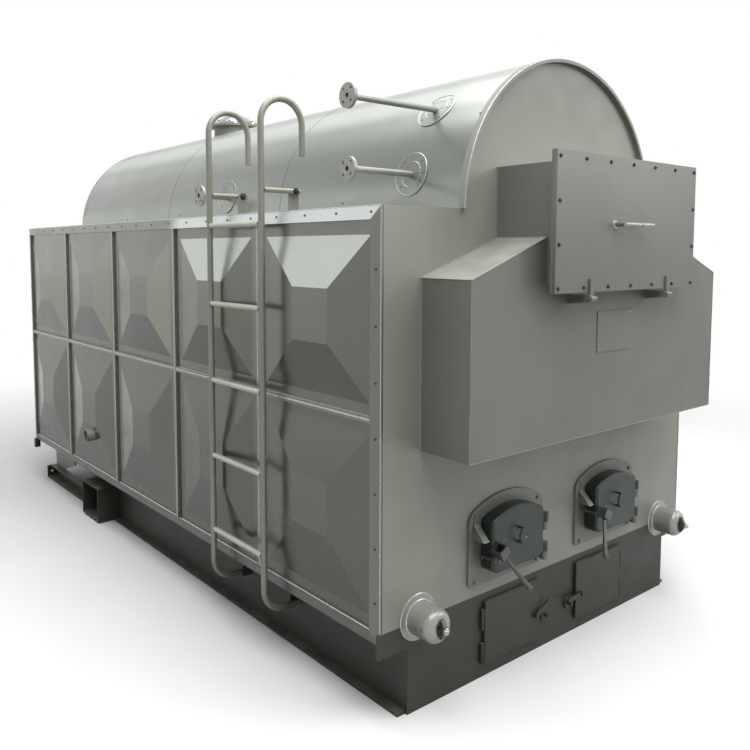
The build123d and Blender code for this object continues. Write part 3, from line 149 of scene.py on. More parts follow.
class BoilerSizes(bpy.types.PropertyGroup):
    screw_pitch: length("Trim screw pitch", 0.2, "Distance between the screws along the side trim")
    screw_radius: length("Trim screw radius", 0.0048, "Radius of a trim screw's head")
    bolt_across: length("Cover bolt size", 0.0095, "Width across a smoke box cover bolt's flats")
    bolt_height: length("Cover bolt head", 0.0055, "Height of a smoke box cover bolt's head")
    frame_bolt_across: length("Frame bolt size", 0.014, "Width across a fire frame bolt's flats")
    weld_radius: length("Weld bead radius", 0.0036, "Radius of the weld beads on the smoke box")
    rivet_radius: length("Rivet radius", 0.004, "Radius of the rivets in the drum jacket")
    lap_width: length("Jacket lap width", 0.03, "Width of the overlap where two jacket sheets meet")
    tube_radius: length("Fire tube radius", 0.0255, "Outer radius of a fire tube's end")
    tube_pitch: length("Fire tube pitch", 0.076, "Distance between neighbouring fire tubes")
    manhole_bolts: bpy.props.IntProperty(
        name="Manhole bolts", default=12, min=4, description="Bolts round the manhole cover")


class BoilerColours(bpy.types.PropertyGroup):
    front_paint: colour("Front paint", srgb(152, 154, 144), "Silver grey paint of the front plate")
    # Painted shade: a darker copy of the front paint for the smoke box, which sits in shade below
    # the cover
    smoke_paint: colour("Smoke box paint", srgb(122, 125, 117), "Paint of the smoke box")
    cover_paint: colour("Cover paint", srgb(129, 132, 124), "Paint of the smoke box cover")
    jacket: colour("Drum jacket", srgb(151, 155, 149), "Bright sheet round the drum")
    sheet: colour("Side sheet", srgb(118, 120, 111), "Glossy silver sheet of the side covers")
    trim: colour("Side trim", srgb(132, 134, 127), "Folded trim round the side covers")
    base_paint: colour("Base paint", srgb(58, 62, 55), "Dark green grey paint of the base")
    door_iron: colour("Door iron", srgb(46, 54, 50), "Painted cast iron of the fire doors")
    ladder_paint: colour("Ladder paint", srgb(140, 141, 129), "Silver paint of the ladder")
    pipe_paint: colour("Pipe paint", srgb(152, 154, 146), "Silver paint of the pipes and nozzles")
    steel: colour("Bare steel", srgb(176, 176, 172), "Bare steel of pins, bolts and worn edges")
    # Also paints the shade inside the open fire tubes, on discs at their mouths
    soot: colour("Soot", srgb(30, 29, 27), "Soot inside the tubes and the fire box")
    rust: colour("Rust", srgb(110, 72, 48), "Rust that shows through worn paint")
    # Also the painted highlight on the smoke box's upward shoulder
    dust_and_highlight: colour("Dust", srgb(176, 174, 164), "Pale dust on surfaces that face up")
    # Also paints shade low on the front plate
    grime_and_shade: colour("Grime", srgb(58, 56, 47), "Dark grime low on the boiler")
    brick: colour("Firebrick", srgb(176, 150, 118), "Firebrick of the hearth and the walls inside")
    backdrop: colour("Backdrop", (1.0, 1.0, 1.0), "Backdrop and far floor")
    floor: colour("Floor", (0.99, 0.99, 0.99), "Pale floor round the boiler")


class BoilerStage(bpy.types.PropertyGroup):
    camera_place: bpy.props.FloatVectorProperty(
        name="Camera place", default=(-2.7668, -4.0101, 1.7264), size=3, subtype="TRANSLATION",
        unit="LENGTH", description="Where the camera stands")
    camera_yaw: angle("Camera yaw", 0.68972, "Turn to the right of straight ahead")
    camera_pitch: angle("Camera pitch", -0.08023, "Tilt above the level")
    camera_roll: angle("Camera roll", 0.00226, "Turn about the line of sight")
    camera_lens: amount("Camera lens", 36.92, "Focal length in millimetres")
    shift_x: plain("Shift across", 0.01498, "Sideways lens shift")
    shift_y: plain("Shift up", -0.08258, "Upward lens shift")
    bounce: colour("Floor bounce", (0.30, 0.30, 0.29), "Light that the floor throws back")
    room_light: amount("Room light", 0.225, "Strength of the even light from all round")
    top_light: amount("Top light", 615.0, "Power of the overhead soft light in watts")
    front_light: amount("Front light", 218.0, "Power of the soft light before the doors in watts")
    side_light: amount("Side light", 36.0, "Power of the low soft light at the left rear in watts")


# Node helpers for the finishes
def node_of(tree, kind, inputs=None, **values):
    """New shader node with its settings, its inputs joined to sockets or set to plain values."""
    node = tree.nodes.new("ShaderNode" + kind)
    for name, value in values.items():
        setattr(node, name, value)
    feed(tree, node, inputs or {})
    return node


def feed(tree, node, inputs):
    """Joins each input to another socket, or sets it to a plain value."""
    for name, value in inputs.items():
        if isinstance(value, bpy.types.NodeSocket):
            tree.links.new(value, node.inputs[name])
        else:
            node.inputs[name].default_value = value


def noise(tree, where, scale, detail, stretch=None, rough=0.55):
    if stretch:
        mapping = node_of(tree, "Mapping", {"Vector": where, "Scale": stretch})
        where = mapping.outputs["Vector"]
    inputs = {"Vector": where, "Scale": scale, "Detail": detail, "Roughness": rough}
    return node_of(tree, "TexNoise", inputs).outputs["Fac"]


def span(tree, value, low, high, to_low=0.0, to_high=1.0):
    """Maps a value from one range to another, held at both ends."""
    node = node_of(tree, "MapRange", {
        "Value": value, "From Min": low, "From Max": high, "To Min": to_low, "To Max": to_high,
    }, interpolation_type="SMOOTHSTEP")
    return node.outputs["Result"]


def falling(tree, value, low, high, most=1.0):
    """The most at the first of two values, and nothing at the second."""
    return span(tree, value, low, high, most, 0.0)


def patches(tree, where, least, most, scale, detail, low, high, **shape):
    """Noise that grows from the least to the most over the given part of its range."""
    return span(tree, noise(tree, where, scale, detail, **shape), low, high, least, most)


def reckon(tree, operation, one, two=0.0):
    return node_of(tree, "Math", {0: one, 1: two}, operation=operation).outputs["Value"]


def times(tree, result, *values):
    """All the values multiplied together."""
    for value in values:
        result = reckon(tree, "MULTIPLY", result, value)
    return result


def mix(tree, share, one, two, kind="MIX"):
    inputs = {"Factor": share, "A": one, "B": two}
    for name in "AB":
        if not isinstance(inputs[name], bpy.types.NodeSocket):
            inputs[name] = (*inputs[name], 1.0)
    node = node_of(tree, "Mix", inputs, data_type="RGBA", blend_type=kind)
    return node.outputs["Result"]


def axes(tree, vector):
    """Outputs X, Y and Z of a vector."""
    return node_of(tree, "SeparateXYZ", {"Vector": vector}).outputs


def relief(tree, height, strength, depth, **under):
    """Bump from a height, laid over the Normal of another bump where one is given."""
    inputs = {"Height": height, "Strength": strength, "Distance": depth, **under}
    return node_of(tree, "Bump", inputs).outputs["Normal"]


def new_material(name):
    material = bpy.data.materials.new(name)
    material.use_nodes = True
    return material, material.node_tree, material.node_tree.nodes["Principled BSDF"]


def new_object(name, data):
    made = bpy.data.objects.new(name, data)
    bpy.context.scene.collection.objects.link(made)
    return made


def shade(tint, factor):
    return tuple(min(1.0, channel * factor) for channel in tint)


# Patterns of a finish: the noise, and the part of its range over which the pattern grows
MOTTLE = dict(detail=5.0, low=0.32, high=0.68)
STREAKS = dict(scale=9.0, detail=4.0, low=0.45, high=0.75, stretch=(1.0, 1.0, 0.06))
GRIME_AND_SHADE = dict(scale=5.0, detail=6.0, low=0.35, high=0.7)
DUST_AND_HIGHLIGHT = dict(scale=6.5, detail=6.0, low=0.3, high=0.7)
POLISH = dict(detail=5.0, low=0.3, high=0.7)
CHIPS = dict(detail=9.0, high=0.69, rough=0.72)
CHIPS_FROM, CHIPS_SPREAD = 0.66, 0.06
STREAK_SHADE, PAINTED_SHADE_FACTOR = 0.62, 0.3
LEAST_GRIME_AND_SHADE, LEAST_DUST_AND_HIGHLIGHT = 0.2, 0.25
DUST_AND_HIGHLIGHT_LEAN = (0.35, 0.95)
POLISH_FINER, SMOOTHER, ROUGHER = 3.1, 0.04, 0.05
WAVE_DETAIL, WAVE_STRENGTH = 1.0, 1.0
GRAIN_DETAIL, GRAIN_STRENGTH, GRAIN_DEPTH = 4.0, 0.35, 0.01

FINISHES = {}


def finish(name, tint, rough=0.5, metal=0.0, gloss=0.5, mottle=0.12, mottle_scale=2.2, streak=0.0,
           dust_and_highlight=0.0, grime_and_shade=0.0, grime_and_shade_top=0.9, wear=0.0, wear_tint=None, wear_scale=7.0,
           facet_sheen=0.0, painted_reflection=False, painted_shade_by_height=None, grain=0.02, grain_scale=260.0, waves=0.0,
           waves_scale=1.6, joints=None):
    """A painted or bare metal, or brick, with mottling, streaks, dust, grime, wear and relief, and
    with painted shade, painted sheen and painted reflection.

    The painted shade by height gives the height where the colour is dark, the height where it is
    clear, and its share.
    """
    colours = bpy.context.scene.boiler_colours
    FINISHES[name], tree, shader = new_material(name)
    place = node_of(tree, "TexCoord")
    where = place.outputs["Object"]
    facing = axes(tree, place.outputs["Normal"])
    spot = axes(tree, where)

    clouds = patches(tree, where, 0.0, 1.0, mottle_scale, **MOTTLE)
    paint = mix(tree, clouds, shade(tint, 1 - mottle), shade(tint, 1 + mottle))
    if streak:
        runs = patches(tree, where, 0.0, streak, **STREAKS)
        paint = mix(tree, runs, paint, shade(tint, STREAK_SHADE))
    # Painted shade: the colour darkens towards one height
    if painted_shade_by_height:
        paint = mix(tree, falling(tree, spot["Z"], *painted_shade_by_height), paint, shade(tint, PAINTED_SHADE_FACTOR))
    # Painted sheen and shade on the facets of the side covers and trim
    if facet_sheen:
        paint = painted_facet_sheen(tree, facing, spot, paint, tint, facet_sheen)
    # Painted reflection: bright and dark stripes on the rolled jacket by how far it faces up
    if painted_reflection:
        paint = painted_jacket_reflection(tree, facing, paint, tint)
    # Darker low down: grime, and on the front plate painted shade as well
    if grime_and_shade:
        spread = patches(tree, where, LEAST_GRIME_AND_SHADE * grime_and_shade, grime_and_shade, **GRIME_AND_SHADE)
        low = falling(tree, spot["Z"], 0.0, grime_and_shade_top)
        paint = mix(tree, times(tree, low, spread), paint, tuple(colours.grime_and_shade))
    # Dust on faces that look up; on the smoke box it is raised to paint the highlight on its lit
    # shoulder
    if dust_and_highlight:
        spread = patches(tree, where, LEAST_DUST_AND_HIGHLIGHT * dust_and_highlight, dust_and_highlight, **DUST_AND_HIGHLIGHT)
        up = span(tree, facing["Z"], *DUST_AND_HIGHLIGHT_LEAN)
        paint = mix(tree, times(tree, up, spread), paint, tuple(colours.dust_and_highlight))
    if joints:
        paint = brickwork(tree, where, paint, joints)
    if wear:
        low = CHIPS_FROM - CHIPS_SPREAD * wear
        chips = patches(tree, where, 0.0, 1.0, wear_scale, low=low, **CHIPS)
        paint = mix(tree, chips, paint, tuple(wear_tint or colours.rust))

    under = {}
    if waves:
        broad = noise(tree, where, waves_scale, WAVE_DETAIL)
        under["Normal"] = relief(tree, broad, WAVE_STRENGTH, waves)
    fine = noise(tree, where, grain_scale, GRAIN_DETAIL)
    feed(tree, shader, {
        "Base Color": paint,
        "Roughness": patches(tree, where, rough - SMOOTHER, rough + ROUGHER,
                             POLISH_FINER * mottle_scale, **POLISH),
        "Metallic": metal,
        "Specular IOR Level": gloss,
        "Normal": relief(tree, fine, GRAIN_STRENGTH, grain * GRAIN_DEPTH, **under),
    })


# Where the painted sheen and shade of the side covers change: along the columns, between the rows,
# with the lean
NEAR_TO_FAR = (-0.5, -0.3)
ROW_CHANGE = (PANEL_MIDDLE - 0.03, PANEL_MIDDLE + 0.03)
LOOKS_UP = (0.04, 0.12)
LOOKS_DOWN = (-0.12, -0.04)
LOOKS_AHEAD = (-0.1, -0.04)
LOOKS_BACK = (0.04, 0.1)
LOOKS_OUT = (0.75, 0.9)
LIT_SHEEN = (3.0, 3.06, 3.4)
WARM_SHEEN = (2.0, 1.97, 1.86)


def painted_facet_sheen(tree, facing, spot, paint, tint, strength):
    """Painted sheen and shade on the facets of the embossed sheets: which facets are painted lit
    and which shaded depends on their lean and place.
    """
    near = falling(tree, spot["Y"], *NEAR_TO_FAR)
    far = span(tree, spot["Y"], *NEAR_TO_FAR)
    upper = span(tree, spot["Z"], *ROW_CHANGE)
    lower = falling(tree, spot["Z"], *ROW_CHANGE)
    rising = span(tree, facing["Z"], *LOOKS_UP)
    hanging = falling(tree, facing["Z"], *LOOKS_DOWN)
    steep = span(tree, reckon(tree, "ABSOLUTE", facing["X"]), *LOOKS_OUT)
    ahead = times(tree, falling(tree, facing["Y"], *LOOKS_AHEAD), steep)
    behind = times(tree, span(tree, facing["Y"], *LOOKS_BACK), steep)
    lit, warm_sheen = (
        tuple(channel * factor for channel, factor in zip(tint, sheen))
        for sheen in (LIT_SHEEN, WARM_SHEEN))
    # Which facets, the share of the painted sheen and shade on them, and its colour
    painted_sheen_and_shade = (
        ((rising, near, upper), 1.5 * strength, lit),
        ((rising, far), 0.8 * strength, shade(tint, 0.78)),
        ((hanging,), 1.3 * strength, shade(tint, 0.40)),
        ((ahead, near), 0.4 * strength, shade(tint, 0.5)),
        ((ahead, far, lower), 1.0, shade(tint, 0.72)),
        ((ahead, far, upper), 0.85 * strength, warm_sheen),
        ((behind, far, lower), 0.7 * strength, warm_sheen),
        ((behind, upper), 0.35 * strength, shade(tint, 0.5)),
    )
    for facets, share, sheen in painted_sheen_and_shade:
        paint = mix(tree, times(tree, *facets, min(1.0, share)), paint, sheen)
    return paint


# Painted reflection on the rolled jacket, by how far it faces up: where each stripe comes and goes,
# its share and shade
PAINTED_REFLECTION_BANDS = (
    ((0.10, 0.26), (0.40, 0.60), 0.5, 0.46),
    ((0.62, 0.74), (0.80, 0.88), 0.85, 1.7),
    ((0.90, 0.97), (1.10, 1.20), 0.6, 1.6),
)


def painted_jacket_reflection(tree, facing, paint, tint):
    """Painted reflection: bright and dark stripes along the drum on the rolled jacket."""
    for comes, goes, share, factor in PAINTED_REFLECTION_BANDS:
        gone = falling(tree, facing["Z"], *goes, share)
        band = times(tree, span(tree, facing["Z"], *comes), gone)
        paint = mix(tree, band, paint, shade(tint, factor))
    return paint


def brickwork(tree, where, paint, joints):
    """Courses of brick on whichever of the upright faces the surface lies in."""
    turned = node_of(tree, "VectorRotate", {"Vector": where, "Angle": math.radians(90)},
                     rotation_type="X_AXIS")
    bricks = node_of(tree, "TexBrick", {
        "Vector": turned.outputs["Vector"], "Scale": 1.0, "Mortar Size": 0.004,
        "Brick Width": 0.23, "Row Height": 0.114, "Color1": (1.0, 1.0, 1.0, 1.0),
        "Color2": (0.78, 0.74, 0.7, 1.0), "Mortar": (*joints, 1.0)})
    return mix(tree, 1.0, paint, bricks.outputs["Color"], "MULTIPLY")


# Mesh helpers
def aim(place, normal=AHEAD, turn=0.0):
    """Matrix that carries local +Z onto a normal at a place, straight ahead if none is given."""
    turned = Vector(normal).normalized().to_track_quat("Z", "Y").to_matrix().to_4x4()
    return Matrix.Translation(place) @ turned @ Matrix.Rotation(turn, 4, "Z")


def edges_of(verts):
    return list({edge for vert in verts for edge in vert.link_edges})


def drum(mesh, matrix, low, high, base, top, segments):
    """Round or many-sided stub from one height to another along local Z."""
    move = Matrix.Translation((0, 0, (low + high) / 2))
    bmesh.ops.create_cone(
        mesh, cap_ends=True, segments=segments, radius1=base, radius2=top, depth=high - low,
        matrix=matrix @ move)


def rod(mesh, start, end, radius, segments=12):
    start, end = Vector(start), Vector(end)
    half = (end - start).length / 2
    drum(mesh, aim((start + end) / 2, end - start), -half, half, radius, radius, segments)


# Fasteners as shares of their size: heights, and radii at foot and top
HEX_UPRIGHT = 0.72
HEX_CHAMFER = (0.99, 0.82)
WASHER_HEIGHT = 0.2
WASHER_EDGE = (0.86, 0.84)
SCREW_STAGES = (
    (0, 0.28, 1.0, 0.97, SCREW_SIDES),
    (0.28, 0.62, 0.95, 0.55, SCREW_SIDES),
    (0.60, 0.72, 0.32, 0.28, 4),
)


def hex_bolt(mesh, matrix, across, head, washer=True):
    """Hexagon head with a chamfered top on a washer."""
    corner = across / math.sqrt(3)
    seat = 0.0
    if washer:
        seat = head * WASHER_HEIGHT
        drum(mesh, matrix, 0, seat, *(across * share for share in WASHER_EDGE), WASHER_SIDES)
    shoulder = seat + head * HEX_UPRIGHT
    drum(mesh, matrix, seat, shoulder, corner, corner, HEXAGON)
    drum(mesh, matrix, shoulder, seat + head, *(corner * share for share in HEX_CHAMFER), HEXAGON)


def pan_screw(mesh, matrix, radius):
    """Low domed head with a small square nub."""
    for low, high, base, top, sides in SCREW_STAGES:
        drum(mesh, matrix, radius * low, radius * high, radius * base, radius * top, sides)


BEAD_SIDES = 7
BEAD_RIPPLE = (0.8, 1.25)
SEED_SCALE, SEED_Y, SEED_Z = 1000, 3, 7


def bead(mesh, start, end, radius, step=0.012):
    """Weld bead along a straight line, with the uneven ripples of hand welding."""
    start, end = Vector(start), Vector(end)
    run = end - start
    cuts = max(2, int(run.length / step))
    single = bmesh.new()
    bmesh.ops.create_cone(
        single, cap_ends=True, segments=BEAD_SIDES, radius1=radius, radius2=radius,
        depth=run.length, matrix=aim((start + end) / 2, run))
    edges = [edge for edge in single.edges if edge.calc_length() > run.length / 2]
    bmesh.ops.subdivide_edges(single, edges=edges, cuts=cuts)
    seed = SEED_SCALE * (abs(start.x) + SEED_Y * abs(start.y) + SEED_Z * abs(start.z))
    chance = random.Random(int(seed))
    swell = [chance.uniform(*BEAD_RIPPLE) for _ in range(cuts + 2)]
    direction = run.normalized()
    for vert in single.verts:
        along = (vert.co - start).dot(direction)
        centre = start + direction * along
        index = min(cuts + 1, max(0, round(along / run.length * (cuts + 1))))
        vert.co = centre + (vert.co - centre) * swell[index]
    join(mesh, single)


def join(mesh, single):
    """Adds one bmesh to another."""
    holder = bpy.data.meshes.new("holder")
    single.to_mesh(holder)
    single.free()
    mesh.from_mesh(holder)
    bpy.data.meshes.remove(holder)


def bead_ring(mesh, matrix, ring, radius, steps=40):
    """Weld bead round a pipe or a bar."""
    upright = Matrix.Rotation(math.radians(90), 4, "X")
    made = bmesh.ops.create_circle(
        mesh, segments=6, radius=radius, matrix=matrix @ Matrix.Translation((ring, 0, 0)) @ upright)
    loop = made["verts"]
    axis = matrix.to_3x3() @ Vector((0, 0, 1))
    bmesh.ops.spin(mesh, geom=loop + edges_of(loop), cent=matrix.translation, axis=axis,
                   angle=math.tau, steps=steps, use_merge=True)


def plate(mesh, low, high, bevel=0.0008):
    """Thin rectangular plate between two corners, with eased edges."""
    low, high = Vector(low), Vector(high)
    stretch = Matrix.Diagonal((*(high - low), 1.0))
    made = bmesh.ops.create_cube(
        mesh, size=1.0, matrix=Matrix.Translation((low + high) / 2) @ stretch)
    bmesh.ops.bevel(mesh, geom=edges_of(made["verts"]), offset=bevel, offset_type="OFFSET",
                    affect="EDGES", segments=1, profile=0.5, material=-1)


def half_band(mesh, y0, y1, radius, thick):
    """Strip of sheet bent over the upper half of the drum."""
    first = mesh.verts.new((-radius, y0, DRUM_Z))
    second = mesh.verts.new((-radius, y1, DRUM_Z))
    edge = mesh.edges.new((first, second))
    bmesh.ops.spin(mesh, geom=[first, second, edge], **OVER_DRUM)
    bmesh.ops.recalc_face_normals(mesh, faces=mesh.faces)
    bmesh.ops.solidify(mesh, geom=list(mesh.faces), thickness=thick)


def drum_point(turn, y, radius):
    """Point and outward normal on the drum, the turn counted from the left side up over the top."""
    normal = Vector((-math.cos(turn), 0, math.sin(turn)))
    return Vector((0, y, DRUM_Z)) + normal * radius, normal


def wrap_on_drum(verts, turn, y):
    """Bends what was made flat on to the jacket, X round the drum, Y along it, Z outwards."""
    for vert in verts:
        around = turn + vert.co.x / DRUM_RADIUS
        vert.co, _ = drum_point(around, y + vert.co.y, DRUM_RADIUS + vert.co.z)


def piece(name, mesh, finish_name="dark_steel", body=ROOT):
    """Turns a finished bmesh into a named object that rides on a body."""
    bmesh.ops.recalc_face_normals(mesh, faces=mesh.faces)
    data = bpy.data.meshes.new(name)
    mesh.to_mesh(data)
    mesh.free()
    data.shade_smooth()
    data.set_sharp_from_angle(angle=SHARP_FROM)
    data.materials.append(FINISHES[finish_name])
    made = new_object(name, data)
    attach(made, body)


class BoilerStep(bpy.types.Operator):
    bl_options = {"REGISTER", "UNDO"}


def make_finishes(tints):
    # Front paint: painted shade darkens the top of the drum head, and the darkening low down is
    # grime and painted shade together
    finish("front_paint", tints.front_paint, rough=0.42, metal=0.1, gloss=0.4, mottle=0.05,
           streak=0.08, painted_shade_by_height=(2.5, 1.95, 0.55), grime_and_shade=0.12, grime_and_shade_top=0.6, waves=0.012,
           waves_scale=1.1)
    # Smoke box: a darker copy of the front paint as painted shade; its dust is raised to paint the
    # highlight on the upward shoulder as well
    finish("smoke_paint", tints.smoke_paint, rough=0.44, metal=0.1, gloss=0.4, mottle=0.05,
           streak=0.08, dust_and_highlight=0.6, waves=0.008)
    # Cover paint: painted shade, darker towards the foot of the cover
    finish("cover_paint", tints.cover_paint, rough=0.38, metal=0.12, mottle=0.05, streak=0.08,
           painted_shade_by_height=(1.60, 2.08, 0.34), waves=0.006, waves_scale=1.9)
    # Jacket: painted reflection stripes along the drum
    finish("jacket", tints.jacket, rough=0.31, metal=0.62, mottle=0.05, mottle_scale=1.4,
           painted_reflection=True, waves=0.016, waves_scale=1.0, grain=0.002)
    # Painted shade: a darker copy of the jacket for the thin line at each lap's front edge
    finish("seam", shade(tints.jacket, 0.62), rough=0.32, metal=0.6, mottle=0.08, mottle_scale=6.0)
    # Lighter than the paints round it: painted highlight on folds, caps, beads and rims, and bright
    # bare metal on the handle nut
    finish("bright_edge", srgb(184, 187, 182), rough=0.24, metal=0.6, mottle=0.06,
           mottle_scale=8.0)
    # Side sheets: painted sheen and shade on the facets, and painted shade darker towards the foot
    finish("sheet", tints.sheet, rough=0.24, metal=0.55, mottle=0.03, mottle_scale=1.7,
           facet_sheen=0.62, painted_shade_by_height=(0.45, 1.6, 0.55), grime_and_shade=0.08, grime_and_shade_top=0.8, waves=0.003,
           waves_scale=2.4, grain=0.002)
    # Trim: painted sheen and shade on its facets, and painted shade darker towards its foot
    finish("trim", tints.trim, rough=0.3, metal=0.5, mottle=0.04, facet_sheen=0.6,
           painted_shade_by_height=(0.6, 1.8, 0.25))
    finish("base_paint", tints.base_paint, gloss=0.35, streak=0.14, dust_and_highlight=0.25, grime_and_shade=0.35,
           grime_and_shade_top=0.3, wear=0.12, waves=0.003, waves_scale=3.0)
    finish("door_iron", tints.door_iron, rough=0.42, metal=0.15, gloss=0.45, mottle_scale=6.0,
           wear=0.1, wear_tint=tints.steel, grain=0.10, grain_scale=120.0)
    finish("frame_iron", shade(tints.front_paint, 0.66), rough=0.45, metal=0.15, gloss=0.4,
           mottle=0.1, mottle_scale=5.0, grain=0.08, grain_scale=140.0)
    finish("latch_iron", srgb(84, 88, 83), rough=0.36, metal=0.4, mottle=0.14, mottle_scale=12.0,
           wear=0.3, wear_tint=tints.steel, wear_scale=24.0, grain=0.08, grain_scale=160.0)
    finish("ladder_paint", tints.ladder_paint, rough=0.36, metal=0.25, mottle=0.08,
           mottle_scale=5.0, dust_and_highlight=0.15)
    # Painted highlight: the rungs take a lighter copy of the ladder paint
    finish("rung_paint", shade(tints.ladder_paint, 2.0), rough=0.34, metal=0.25, mottle=0.08,
           mottle_scale=6.0, dust_and_highlight=0.2)
    finish("pipe_paint", tints.pipe_paint, rough=0.34, metal=0.3, mottle=0.07, mottle_scale=6.0)
    finish("header_paint", shade(tints.pipe_paint, 1.2), rough=0.3, metal=0.25, mottle=0.08,
           mottle_scale=9.0, grain=0.05, grain_scale=150.0)
    finish("steel", tints.steel, rough=0.28, metal=0.9, mottle=0.1, mottle_scale=20.0)
    finish("dark_steel", srgb(62, 64, 62), rough=0.4, metal=0.6, mottle=0.16, mottle_scale=18.0)
    finish("chrome", srgb(196, 199, 200), rough=0.12, metal=1.0, mottle=0.3, mottle_scale=6.0,
           waves=0.02, waves_scale=11.0)
    finish("neck_paint", srgb(124, 126, 114), metal=0.2, mottle=0.14, mottle_scale=9.0, wear=0.1)
    finish("boiler_plate", srgb(74, 70, 66), rough=0.62, metal=0.4, mottle=0.2, mottle_scale=7.0,
           wear=0.5)
    finish("grate_iron", srgb(62, 58, 55), rough=0.72, metal=0.4, mottle=0.22, mottle_scale=9.0,
           wear=0.6, grain=0.2, grain_scale=90.0)
    finish("firebrick", tints.brick, rough=0.86, mottle=0.2, mottle_scale=8.0, grain=0.3,
           grain_scale=70.0, joints=srgb(120, 108, 92))
    finish("weld", shade(tints.smoke_paint, 1.3), rough=0.36, metal=0.25, mottle_scale=30.0)
    # Dark discs in the tube mouths: soot and painted shade of the open bores
    finish("soot", tints.soot, rough=0.9, mottle=0.3, mottle_scale=25.0)


# Finish of each material slot of the record that isn't named after its finish
SLOT_FINISHES = {
    "silver_paint": "front_paint", "jacket_sheet": "jacket", "cover_sheet": "sheet",
    "bright_trim": "trim", "bare_steel": "dark_steel",
}
# Nodes with a finish of their own
NODE_FINISHES = {
    "smoke_box_lower": "smoke_paint", "smoke_box_upper": "smoke_paint",
    "smoke_box_cover": "cover_paint", "fire_door_frame_left": "frame_iron",
    "fire_door_frame_right": "frame_iron", "fire_latch_left": "latch_iron",
    "fire_latch_right": "latch_iron", "header_nozzles": "header_paint",
    "hand_hole_yokes": "latch_iron", "manhole_cover": "chrome", "manhole_neck": "neck_paint",
    "ladder_rungs": "rung_paint",
}


class BOILER_OT_finishes(BoilerStep):
    """Makes the finishes and gives one to every node of the frame"""
    bl_idname = "boiler.finishes"
    bl_label = "Finishes"

    def execute(self, context):
        make_finishes(context.scene.boiler_colours)
        slots = {row["node"]: row["material_slot"] for row in frame["record"]["subparts"]}
        for name, node in NODES.items():
            by_slot = SLOT_FINISHES.get(slots[name], slots[name])
            for place in node.material_slots:
                place.material = FINISHES[NODE_FINISHES.get(name, by_slot)]
        return {"FINISHED"}


class BOILER_OT_trim_screws(BoilerStep):
    """Screws in the front, rear and top strips of the side trim"""
    bl_idname = "boiler.trim_screws"
    bl_label = "Trim screws"

    def execute(self, context):
        sizes = context.scene.boiler_sizes
        pitch = sizes.screw_pitch
        inset = 0.024
        slope = 0.2
        top = HOUSING_TOP - inset
        count = int((BACK_Y - FRONT_Y) / pitch)
        rows = int((top - PANEL_FOOT) / pitch) + 1
        for name, side in SIDES.items():
            mesh = bmesh.new()
            x = side * TRIM_FACE_X
            for index in range(count):
                y = FRONT_Y + pitch / 4 + index * pitch
                pan_screw(mesh, aim((x, y, top), (side, 0, slope), index), sizes.screw_radius)
            for end, lean in ((FRONT_Y + inset, -slope), (BACK_Y - inset, slope)):
                for index in range(1, rows):
                    place = (x, end, top - pitch * index)
                    pan_screw(mesh, aim(place, (side, lean, 0), index), sizes.screw_radius)
            piece("trim_screws_" + name, mesh)
        return {"FINISHED"}


class BOILER_OT_trim_edges(BoilerStep):
    """Folded edges of the trim and rounded cappings on the battens, lighter than the trim as
    painted highlight
    """
    bl_idname = "boiler.trim_edges"
    bl_label = "Trim edges"

    def execute(self, context):
        width = (BACK_Y - FRONT_Y) / COLUMNS
        trim_width = 0.055
        half_batten = 0.017
        cap = 0.0068
        fold = 0.0026
        foot = 0.0045
        top = HOUSING_TOP - fold
        for name, side in SIDES.items():
            mesh = bmesh.new()
            x = side * (BATTEN_FACE_X - cap)
            for index in range(COLUMNS):
                first = trim_width if index == 0 else half_batten
                last = trim_width if index == COLUMNS - 1 else half_batten
                start = FRONT_Y + index * width + first
                end = FRONT_Y + (index + 1) * width - last
                rod(mesh, (x, start, PANEL_MIDDLE), (x, end, PANEL_MIDDLE), cap)
            for index in range(1, COLUMNS):
                y = FRONT_Y + index * width
                rod(mesh, (x, y, PANEL_FOOT), (x, y, PANEL_HEAD), cap)
            piece("batten_caps_" + name, mesh, "bright_edge")
            mesh = bmesh.new()
            x = side * TRIM_EDGE_X
            for y in (FRONT_Y + fold, BACK_Y - fold):
                rod(mesh, (x, y, PANEL_FOOT), (x, y, top), fold)
            rod(mesh, (x, FRONT_Y + fold, top), (x, BACK_Y - fold, top), fold)
            ends = (FRONT_Y + trim_width, BACK_Y - trim_width)
            rod(mesh, *((x, y, PANEL_FOOT) for y in ends), foot)
            piece("trim_edges_" + name, mesh, "bright_edge")
        return {"FINISHED"}


